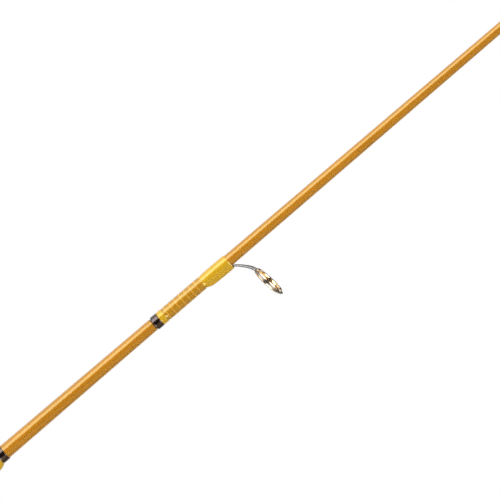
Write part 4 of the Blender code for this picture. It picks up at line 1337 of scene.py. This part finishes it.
def build_trim_rings():
    gold = finishes()["anodised"]
    for node in ("rear_trim_ring", "front_trim_ring"):
        start, end = span(node)
        middle = (start + end) / 2
        outline = arc(start + 0.4 * MM, 12.3 * MM, 0.4 * MM, 180, 90)
        outline += [(middle - 0.3 * MM, 12.7 * MM), (middle - 0.2 * MM, 12.45 * MM)]
        outline += [(middle + 0.2 * MM, 12.45 * MM), (middle + 0.3 * MM, 12.7 * MM)]
        outline += arc(end - 0.4 * MM, 12.3 * MM, 0.4 * MM, 90, 0)
        lathe(node + "_finish", outline + bore_points(start, end), gold, BUTT, [node])
    start, end = span("winding_check")
    outline = arc(start + 0.4 * MM, 7.5 * MM, 0.4 * MM, 180, 90)
    outline += [(start + 1.3 * MM, 7.9 * MM), (start + 1.55 * MM, 7.65 * MM), (start + 1.75 * MM, 7.65 * MM)]
    outline += [(start + 1.95 * MM, 7.8 * MM), (start + 2.6 * MM, 7.2 * MM), (end - 0.5 * MM, 6.75 * MM)]
    outline += arc(end - 0.35 * MM, 6.4 * MM, 0.35 * MM, 80, 0)
    outline += bore_points(start, end)
    lathe("winding_check_finish", outline, gold, BUTT, ["winding_check"])


# ---- Reel seat ----


def build_barrel():
    """The seat's barrel: a rolled thread, a flat deck for the reel's foot, and a keyway along the top."""
    sides = 96
    angles = angles_from_down(sides)
    stops = [-SEAT_HALF, -SEAT_HALF + 0.3 * MM]
    stops += list(np.arange(THREAD_START - 1.5 * MM, THREAD_END + 1.5 * MM, 0.25 * MM))
    stops += [THREAD_END + 1.6 * MM, THREAD_END + 2.5 * MM]
    hair = 0.02 * MM
    for edge in (DECK_START, KEYWAY_END, DECK_END):
        stops += [edge - hair, edge + hair]
    stops += [SEAT_HALF - 0.3 * MM, SEAT_HALF]
    xs = sorted(stops)
    radii = np.zeros((len(xs), sides))
    shoulder = THREAD_END + 1.6 * MM
    for i, x in enumerate(xs):
        root = np.interp(x, [shoulder, shoulder + 0.9 * MM], [THREAD_ROOT, BARREL_RADIUS])
        if x <= -SEAT_HALF or x >= SEAT_HALF:
            root -= 0.3 * MM
        lead = np.clip(min(x - THREAD_START, THREAD_END - x) / (0.8 * MM), 0, 1)
        for j, angle in enumerate(angles):
            rod_angle = math.atan2(-math.cos(angle), math.sin(angle))
            turn = x / THREAD_PITCH - rod_angle / math.tau
            near = abs(turn - round(turn)) * THREAD_PITCH
            ridge = np.interp(near, [0.32 * MM, 0.75 * MM], [1.0, 0.0]) * lead
            radius = max(root, THREAD_ROOT + (BARREL_RADIUS - THREAD_ROOT) * ridge)
            down = math.cos(angle)
            if DECK_START < x < DECK_END and radius * down > DECK_DEPTH:
                radius = DECK_DEPTH / down
            across = radius * math.sin(angle)
            if down < 0 and x < KEYWAY_END and abs(across) < KEYWAY_HALF_WIDTH:
                radius = min(radius, KEYWAY_FLOOR / -down)
            radii[i, j] = radius
    outer = polar_rings(xs, radii)
    inner = polar_rings([SEAT_HALF, -SEAT_HALF], np.full((2, sides), BARREL_BORE))
    points, faces = shell_of_rings(np.concatenate([outer, inner]), False)
    node, seat = "reel_seat_barrel", finishes()["seat"]
    add_piece(node + "_finish", points, faces, seat, BUTT, [node], sharp=30)


def pocket_radius(angle, depth):
    """Distance from the axis to the inside of a hood's pocket, by angle from straight down."""
    narrow = POCKET_HALF_WIDTH * 0.55
    shoulder = depth - 3.6 * MM
    down, across = math.cos(angle), abs(math.sin(angle))
    if down <= 0:
        return 0.0
    reach = [depth / down]
    if across > 1e-6:
        reach.append(POCKET_HALF_WIDTH / across)
    slope_x, slope_z = POCKET_HALF_WIDTH - narrow, depth - shoulder
    edge = slope_z * across + slope_x * down
    reach.append((slope_z * POCKET_HALF_WIDTH + slope_x * shoulder) / edge)
    return min(reach)


def hood_shell(stations, mouth, inward, sides=96):
    """A hood's shell: its outside by stations of (x, circle, half width, depth), its bore and its pocket."""
    angles = angles_from_down(sides)
    keys = [s[0] for s in stations]
    xs = sorted({*np.linspace(keys[0], keys[-1], 40), *keys})
    outer = np.zeros((len(xs), sides))
    for i, x in enumerate(xs):
        circle, half, depth = (float(np.interp(x, keys, [s[k] for s in stations])) for k in (1, 2, 3))
        outer[i] = [hull_radius(a, circle, half, depth) for a in angles]
    outer = smooth_rows(outer.T, 5, True).T
    end = mouth + inward * POCKET_LENGTH
    inner_xs = sorted([keys[0], keys[-1], end - 0.02 * MM, end + 0.02 * MM, (mouth + end) / 2], reverse=True)
    inner = np.zeros((len(inner_xs), sides))
    for i, x in enumerate(inner_xs):
        into = (x - mouth) * inward
        depth = POCKET_MOUTH_DEPTH + (POCKET_END_DEPTH - POCKET_MOUTH_DEPTH) * into / POCKET_LENGTH
        for j, angle in enumerate(angles):
            bore = HOOD_BORE
            if into < POCKET_LENGTH and abs(angle) < math.radians(60):
                bore = max(bore, pocket_radius(angle, depth))
            inner[i, j] = bore
    return polar_rings(xs, outer), polar_rings(inner_xs, inner)


def build_hood(node, rings, body, *extra):
    """A brushed steel hood from its rings, with any further shells."""
    points, faces = joined(shell_of_rings(np.concatenate(rings), False), *extra)
    add_piece(node + "_finish", points, faces, finishes()["hood"], body, [node], sharp=35)


def build_fixed_hood():
    start, end = span("fixed_hood")
    full = HOOD_RADIUS + 0.4 * MM
    stations = (
        (start, HOOD_RADIUS + 0.1 * MM, HOOD_NARROW, HOOD_MOUTH_DEPTH - 0.3 * MM),
        (start + 0.3 * MM, full, HOOD_NARROW, HOOD_MOUTH_DEPTH),
        (start + 1.2 * MM, full, HOOD_NARROW, HOOD_MOUTH_DEPTH),
        (start + 12 * MM, full, HOOD_NARROW * 0.95, HOOD_NOSE_DEPTH + 1.2 * MM),
        (end - 1.2 * MM, HOOD_RADIUS, HOOD_NARROW * 0.7, HOOD_NOSE_DEPTH),
        (end - 0.3 * MM, HOOD_RADIUS - 0.2 * MM, HOOD_NARROW * 0.7, HOOD_NOSE_DEPTH - 0.3 * MM),
        (end, HOOD_RADIUS - 0.5 * MM, HOOD_NARROW * 0.7, HOOD_NOSE_DEPTH - 0.6 * MM),
    )
    build_hood("fixed_hood", hood_shell(stations, start, 1), BUTT)


def build_sliding_hood():
    start, mouth = span("sliding_hood")
    skirt_end = start + SKIRT_LENGTH
    full = HOOD_RADIUS + 0.4 * MM
    stations = (
        (start, SKIRT_RADIUS - 0.4 * MM, HOOD_NARROW, SKIRT_RADIUS - 0.4 * MM),
        (start + 0.5 * MM, SKIRT_RADIUS, HOOD_NARROW, SKIRT_RADIUS),
        (skirt_end - 0.4 * MM, SKIRT_RADIUS, HOOD_NARROW, SKIRT_RADIUS),
        (skirt_end + 1.2 * MM, full, HOOD_NARROW, HOOD_NOSE_DEPTH + 1.0 * MM),
        (mouth - 1.0 * MM, full, HOOD_NARROW, HOOD_MOUTH_DEPTH),
        (mouth - 0.3 * MM, full, HOOD_NARROW, HOOD_MOUTH_DEPTH),
        (mouth, HOOD_RADIUS + 0.1 * MM, HOOD_NARROW, HOOD_MOUTH_DEPTH - 0.3 * MM),
    )
    outer, inner = hood_shell(stations, mouth, -1)
    sides = outer.shape[1]
    recess_xs = [skirt_end - 0.9 * MM, skirt_end - 0.9 * MM, start + 1.4 * MM, start + 1.4 * MM, start]
    recess = [HOOD_BORE, SKIRT_RECESS_RADIUS, SKIRT_RECESS_RADIUS, SKIRT_LIP_RADIUS, SKIRT_LIP_RADIUS]
    skirt = polar_rings(recess_xs, np.tile(np.array(recess)[:, None], (1, sides)))
    half = KEYWAY_HALF_WIDTH - 0.25 * MM
    low, high = KEYWAY_FLOOR + 0.25 * MM, HOOD_BORE + 0.6 * MM
    corners = ((-half, low), (half, low), (half, high), (-half, high))
    key = [[(x, y, z) for y, z in corners] for x in (skirt_end + 1 * MM, mouth - 2 * MM)]
    build_hood("sliding_hood", [outer, inner[:-1], skirt], "hood", shell_of_rings(key, True))


def build_lock_nut():
    """The knurled nut, with scalloped flutes for the fingers and a flanged nose inside the hood's skirt."""
    start, _ = span("lock_nut")
    hood_start, _ = span("sliding_hood")
    face = start + NUT_LENGTH
    sides = NUT_FLUTES * 12
    angles = angles_from_down(sides)
    grip_start, grip_end = start + 1.7 * MM, face - 1.7 * MM
    xs = [start, start + 0.25 * MM, start + 0.7 * MM, start + 1.1 * MM]
    xs += list(np.linspace(grip_start - 0.2 * MM, grip_end + 0.2 * MM, 30))
    xs += [face - 0.8 * MM, face - 0.35 * MM, face]
    radii = np.zeros((len(xs), sides))
    for i, x in enumerate(xs):
        body = np.interp(
            x,
            [start, start + 0.4 * MM, start + 1.1 * MM, face - 0.8 * MM, face],
            [NUT_RADIUS - 1.2 * MM, NUT_RADIUS - 0.5 * MM, NUT_RADIUS, NUT_RADIUS, NUT_RADIUS - 0.5 * MM],
        )
        inset = np.clip(min(x - grip_start, grip_end - x) / (0.7 * MM), 0, 1)
        scoop = 0.8 * MM * math.sqrt(inset * (2 - inset))
        wave = np.cos(angles * NUT_FLUTES)
        radii[i] = body - scoop * np.clip((0.35 - wave) / 1.35, 0, 1)
    nose = hood_start + 1.7 * MM
    nose_end = hood_start + 3.7 * MM
    bore = BARREL_RADIUS + NUT_CLEARANCE
    tail_xs = [face, nose, nose, nose_end - 0.2 * MM, nose_end, nose_end]
    tail = [SKIRT_LIP_RADIUS - 0.3 * MM] * 2 + [SKIRT_RECESS_RADIUS - 0.3 * MM] * 2
    tail += [SKIRT_RECESS_RADIUS - 0.5 * MM, bore]
    thread_xs = list(np.arange(nose_end - 0.4 * MM, start + 0.4 * MM, -0.375 * MM)) + [start]
    thread = [bore + 0.12 * MM * math.cos(math.tau * x / (1.5 * MM)) + 0.12 * MM for x in thread_xs]
    rings = [polar_rings(xs, radii)]
    rings.append(polar_rings(tail_xs + thread_xs, np.tile(np.array(tail + thread)[:, None], (1, sides))))
    points, faces = shell_of_rings(np.concatenate(rings), False)
    seat = finishes()["seat"]
    add_piece("lock_nut_finish", points, faces, seat, "nut", ["lock_nut"], sharp=45)
    ring_x = start + 1.25 * MM
    outline = arc(ring_x, NUT_RADIUS - 0.10 * MM, 0.28 * MM, 180, 0, 8)
    outline += [(ring_x + 0.28 * MM, NUT_RADIUS - 0.6 * MM), (ring_x - 0.28 * MM, NUT_RADIUS - 0.6 * MM)]
    lathe("lock_nut_band", outline, finishes()["anodised"], "nut", ())


def build_arbors():
    foam = finishes()["foam"]
    for node in ("rear_arbor", "front_arbor"):
        start, end = span(node)
        radius = BARREL_BORE - FIT
        outline = [(start, radius - 0.3 * MM), (start + 0.3 * MM, radius)]
        for i in range(1, 5):
            x = start + (end - start) * i / 5
            outline += [(x - 0.5 * MM, radius), (x - 0.3 * MM, radius - 0.6 * MM)]
            outline += [(x + 0.3 * MM, radius - 0.6 * MM), (x + 0.5 * MM, radius)]
        outline += [(end - 0.3 * MM, radius), (end, radius - 0.3 * MM)]
        outline += bore_points(start, end)
        lathe(node + "_finish", outline, foam, BUTT, [node], sides=64)


# ---- Hook keeper ----


def keeper_pivot_depth():
    return blank_radius(KEEPER_STATION) + 2 * FIT + KEEPER_BAR_RADIUS + 0.15 * MM


def build_keeper_bracket():
    x0 = x_at(KEEPER_STATION)
    base = blank_radius(KEEPER_STATION - KEEPER_FOOT) + FIT
    pivot = keeper_pivot_depth()
    inner = KEEPER_BAR_RADIUS + 0.12 * MM
    outer = inner + KEEPER_STRIP
    arch = [math.pi * i / 24 for i in range(25)]
    lower = [(x0 - outer * math.cos(a), -pivot - outer * math.sin(a)) for a in arch]
    upper = [(x0 + inner * math.cos(a), -pivot - inner * math.sin(a)) for a in arch]
    foot_bottom = -base - KEEPER_STRIP
    profile = [(x0 - KEEPER_FOOT, -base - 0.15 * MM), (x0 - KEEPER_FOOT + 3 * MM, foot_bottom)]
    profile += [(x0 - outer, foot_bottom), *lower[1:-1], (x0 + outer, foot_bottom)]
    profile += [(x0 + KEEPER_FOOT - 3 * MM, foot_bottom), (x0 + KEEPER_FOOT, -base - 0.15 * MM)]
    profile += [(x0 + KEEPER_FOOT, -base), (x0 + inner, -base), *upper, (x0 - inner, -base)]
    profile += [(x0 - KEEPER_FOOT, -base)]
    edge = KEEPER_HALF_WIDTH
    rings = [[(x, y, z) for x, z in profile] for y in (-edge, -edge / 3, edge / 3, edge)]
    points, faces = shell_of_rings(rings, True)
    node, steel = "keeper_bracket", finishes()["steel"]
    piece = add_piece(node + "_finish", points, faces, steel, BUTT, [node], sharp=35)
    rounding = piece.modifiers.new("rounded_edges", "BEVEL")
    rounding.width = 0.06 * MM
    rounding.segments = 2
    rounding.limit_method = "ANGLE"
    rounding.angle_limit = math.radians(50)


def build_keeper_ring():
    x0 = x_at(KEEPER_STATION)
    top = -keeper_pivot_depth()
    half = KEEPER_RING_HALF_WIDTH
    centre = top - KEEPER_RING_DROP + half
    straight = half - KEEPER_CORNER
    corner = [(1 - math.sin(a), 1 - math.cos(a)) for a in np.linspace(0.2, math.pi / 2, 7)]
    corner = [(half - KEEPER_CORNER * across, top - KEEPER_CORNER * down) for across, down in corner]
    bow = [(half * math.cos(a), centre - half * math.sin(a)) for a in np.linspace(0, math.pi, 40)]
    outline = [(y, top) for y in np.linspace(-straight, straight, 14)]
    outline += [*corner, *bow, *((-y, z) for y, z in corner[::-1])]
    path = [Vector((x0, y, z)) for y, z in outline]
    build_steel("keeper_ring", [swept(path, KEEPER_BAR_RADIUS, closed=True)], "keeper_loop")


def build_keeper_wraps():
    for node, side in (("keeper_wrap_rear", -1), ("keeper_wrap_front", 1)):
        toe = KEEPER_STATION + side * KEEPER_FOOT
        heel = KEEPER_STATION + side * 1.2 * MM
        slope = blank_radius(KEEPER_STATION - KEEPER_FOOT) - blank_radius(toe) + 2 * FIT
        foot = (toe, heel, KEEPER_STRIP + slope + 2 * FIT)
        build_foot_wrap(node, foot, KEEPER_HALF_WIDTH)


# ---- Studio ----


def aimed_light(name, centre, towards, width, height, radiance, upright):
    """A rectangular light of an even radiance, facing a point, with its height along the upright."""
    data = bpy.data.lights.new(name, "AREA")
    data.shape = "RECTANGLE"
    data.size = width
    data.size_y = height
    data.color = LIGHT_COLOUR
    data.energy = radiance * width * height * math.pi
    light = bpy.data.objects.new(name, data)
    light.visible_camera = False
    bpy.context.scene.collection.objects.link(light)
    away = (Vector(centre) - Vector(towards)).normalized()
    up = (Vector(upright) - away * Vector(upright).dot(away)).normalized()
    right = up.cross(away)
    light.matrix_world = matrix_from_axes(right, up, away, centre)
    return light


def matrix_from_axes(right, up, back, place):
    matrix = Matrix((right, up, back)).transposed().to_4x4()
    matrix.translation = Vector(place)
    return matrix


def build_lights(settings, centre):
    """Long softboxes in line with the rod, and one square light beyond each end of it.

    A softbox stands by its angle round the rod, from the camera's side upwards, and half its spread.
    """
    for name, round_rod, half_spread, radiance in (
        ("key_softbox", 53.5, 23.5, settings.key),
        ("low_fill", -61.0, 31.0, settings.fill),
        ("rear_softbox", 115.0, 36.0, settings.key * 0.25),
        ("rear_low_fill", -140.0, 20.0, settings.key * 0.22),
    ):
        angle = math.radians(round_rod)
        direction = Vector((0, -math.cos(angle), math.sin(angle)))
        upright = Vector((0, math.sin(angle), math.cos(angle)))
        height = 2 * SOFTBOX_DISTANCE * math.tan(math.radians(half_spread))
        place = centre + direction * SOFTBOX_DISTANCE
        light = aimed_light(name, place, centre, SOFTBOX_LENGTH, height, radiance, upright)
        if name == "low_fill":
            light.data.color = WARM_LIGHT
    size = END_LIGHT_SIZE
    for name, side in (("end_light_butt", -1), ("end_light_tip", 1)):
        place = centre + Vector((side * 1.0, -0.84, -0.75))
        aimed_light(name, place, centre, size, size, settings.ends, (0, 0, 1))


def build_world():
    """White behind everything the camera sees, and a dim room for what the gloss reflects."""
    world = bpy.data.worlds.new("studio")
    bpy.context.scene.world = world
    world.use_nodes = True
    nodes = world.node_tree.nodes
    links = world.node_tree.links
    nodes.clear()
    output = nodes.new("ShaderNodeOutputWorld")
    choose = nodes.new("ShaderNodeMixShader")
    path = nodes.new("ShaderNodeLightPath")
    room = nodes.new("ShaderNodeBackground")
    room.inputs["Color"].default_value = ROOM_COLOUR
    room.inputs["Strength"].default_value = ROOM_STRENGTH
    paper = nodes.new("ShaderNodeBackground")
    paper.inputs["Color"].default_value = (1.0, 1.0, 1.0, 1.0)
    paper.inputs["Strength"].default_value = 1.0
    links.new(path.outputs["Is Camera Ray"], choose.inputs[0])
    links.new(room.outputs[0], choose.inputs[1])
    links.new(paper.outputs[0], choose.inputs[2])
    links.new(choose.outputs[0], output.inputs[0])


def build_floor(low):
    """A plain pale floor well below the rod."""
    half = 1.6
    middle = 0.7
    points = [(middle + sx * half, sy * 1.1, low) for sx, sy in ((-1, -1), (1, -1), (1, 1), (-1, 1))]
    mesh = bpy.data.meshes.new("floor")
    mesh.from_pydata(points, [], [(0, 1, 2, 3)])
    finish = Finish("pale_floor", (0.86, 0.86, 0.85), 0.9)
    mottle = finish.noise(6.0, 3.0, 0.5)
    finish.colour(finish.mix(mottle, (0.84, 0.84, 0.83), (0.88, 0.88, 0.87)))
    mesh.materials.append(finish.material)
    floor = bpy.data.objects.new("floor", mesh)
    floor.visible_glossy = False
    bpy.context.scene.collection.objects.link(floor)


def build_camera(settings, centre):
    """A long lens square to the rod, swung a little towards the tip and rolled so that the rod climbs."""
    data = bpy.data.cameras.new("camera")
    data.sensor_width = 36.0
    data.lens = data.sensor_width * settings.distance / settings.field
    data.clip_end = 200.0
    camera = bpy.data.objects.new("camera", data)
    bpy.context.scene.collection.objects.link(camera)
    back = Vector((math.sin(settings.swing), -math.cos(settings.swing), 0))
    along = Vector((math.cos(settings.swing), math.sin(settings.swing), 0))
    up = Vector((0, 0, 1))
    rise = settings.rise
    right = along * math.cos(rise) - up * math.sin(rise)
    top = along * math.sin(rise) + up * math.cos(rise)
    camera.matrix_world = matrix_from_axes(right, top, back, centre + back * settings.distance)
    bpy.context.scene.camera = camera


# ---- Operators ----


class ROD_OT_stage(bpy.types.Operator):
    """Sets up the camera, the softboxes and the pale floor"""

    bl_idname = "rod.stage"
    bl_label = "Build Stage"

    def execute(self, context):
        settings = context.scene.rod_stage
        low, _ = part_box("guide_2_ring")
        build_camera(settings, VIEW_CENTRE)
        build_lights(settings, LIGHTS_CENTRE)
        build_world()
        build_floor(low[2] - FLOOR_DROP)
        context.scene.view_settings.view_transform = "Standard"
        return {"FINISHED"}


class ROD_OT_blank(bpy.types.Operator):
    """Builds both sections of the blank and the spigot that joins them"""

    bl_idname = "rod.blank"
    bl_label = "Build Blank"

    def execute(self, context):
        build_butt_blank()
        build_spigot()
        build_tip_blank()
        return {"FINISHED"}


class ROD_OT_ferrule_wraps(bpy.types.Operator):
    """Builds the thread bands over the ferrule and the black trims of the small guides"""

    bl_idname = "rod.ferrule_wraps"
    bl_label = "Build Ferrule Wraps"

    def execute(self, context):
        build_ferrule_bands()
        build_guide_trims()
        return {"FINISHED"}


class ROD_OT_guides(bpy.types.Operator):
    """Builds the single-foot guides with their rings and wraps"""

    bl_idname = "rod.guides"
    bl_label = "Build Guides"

    def execute(self, context):
        for guide in GUIDES:
            build_single_foot_guide(*guide)
        return {"FINISHED"}


class ROD_OT_stripper(bpy.types.Operator):
    """Builds the large double-foot guide nearest the reel"""

    bl_idname = "rod.stripper"
    bl_label = "Build Stripper Guide"

    def execute(self, context):
        build_stripper()
        return {"FINISHED"}


class ROD_OT_tip_top(bpy.types.Operator):
    """Builds the guide at the rod's tip"""

    bl_idname = "rod.tip_top"
    bl_label = "Build Tip-Top"

    def execute(self, context):
        build_tip_top()
        return {"FINISHED"}


class ROD_OT_handle(bpy.types.Operator):
    """Builds the cork grips, the butt cap and the anodised rings"""

    bl_idname = "rod.handle"
    bl_label = "Build Handle"

    def execute(self, context):
        build_grips()
        build_butt_cap()
        build_trim_rings()
        return {"FINISHED"}


class ROD_OT_reel_seat(bpy.types.Operator):
    """Builds the reel seat with its hoods, its nut and the bushes inside it"""

    bl_idname = "rod.reel_seat"
    bl_label = "Build Reel Seat"

    def execute(self, context):
        build_barrel()
        build_fixed_hood()
        build_sliding_hood()
        build_lock_nut()
        build_arbors()
        return {"FINISHED"}


class ROD_OT_keeper(bpy.types.Operator):
    """Builds the hook keeper and the wraps over its feet"""

    bl_idname = "rod.keeper"
    bl_label = "Build Hook Keeper"

    def execute(self, context):
        build_keeper_bracket()
        build_keeper_ring()
        build_keeper_wraps()
        return {"FINISHED"}


OPERATORS = (
    ROD_OT_stage,
    ROD_OT_blank,
    ROD_OT_ferrule_wraps,
    ROD_OT_guides,
    ROD_OT_stripper,
    ROD_OT_tip_top,
    ROD_OT_handle,
    ROD_OT_reel_seat,
    ROD_OT_keeper,
)
SETTINGS = (
    ("rod_blank", RodBlankSettings),
    ("rod_thread", RodThreadSettings),
    ("rod_handle", RodHandleSettings),
    ("rod_guides", RodGuideSettings),
    ("rod_stage", RodStageSettings),
)


class ROD_PT_panel(bpy.types.Panel):
    """Lists the rod's settings and the operators that build it"""

    bl_idname = "ROD_PT_panel"
    bl_label = "Spinning Rod"
    bl_space_type = "VIEW_3D"
    bl_region_type = "UI"
    bl_category = "Rod"

    def draw(self, context):
        for name, group in SETTINGS:
            box = self.layout.box()
            box.label(text=group.__doc__)
            for field in group.__annotations__:
                box.prop(getattr(context.scene, name), field)
        for operator in OPERATORS:
            self.layout.operator(operator.bl_idname)


def register():
    for name, group in SETTINGS:
        bpy.utils.register_class(group)
        setattr(bpy.types.Scene, name, bpy.props.PointerProperty(type=group))
    for operator in OPERATORS:
        bpy.utils.register_class(operator)
    bpy.utils.register_class(ROD_PT_panel)


def unregister():
    bpy.utils.unregister_class(ROD_PT_panel)
    for operator in reversed(OPERATORS):
        bpy.utils.unregister_class(operator)
    for name, group in reversed(SETTINGS):
        delattr(bpy.types.Scene, name)
        bpy.utils.unregister_class(group)


def main():
    register()
    for operator in OPERATORS:
        family, name = operator.bl_idname.split(".")
        getattr(getattr(bpy.ops, family), name)()


if __name__ == "__main__":
    main()
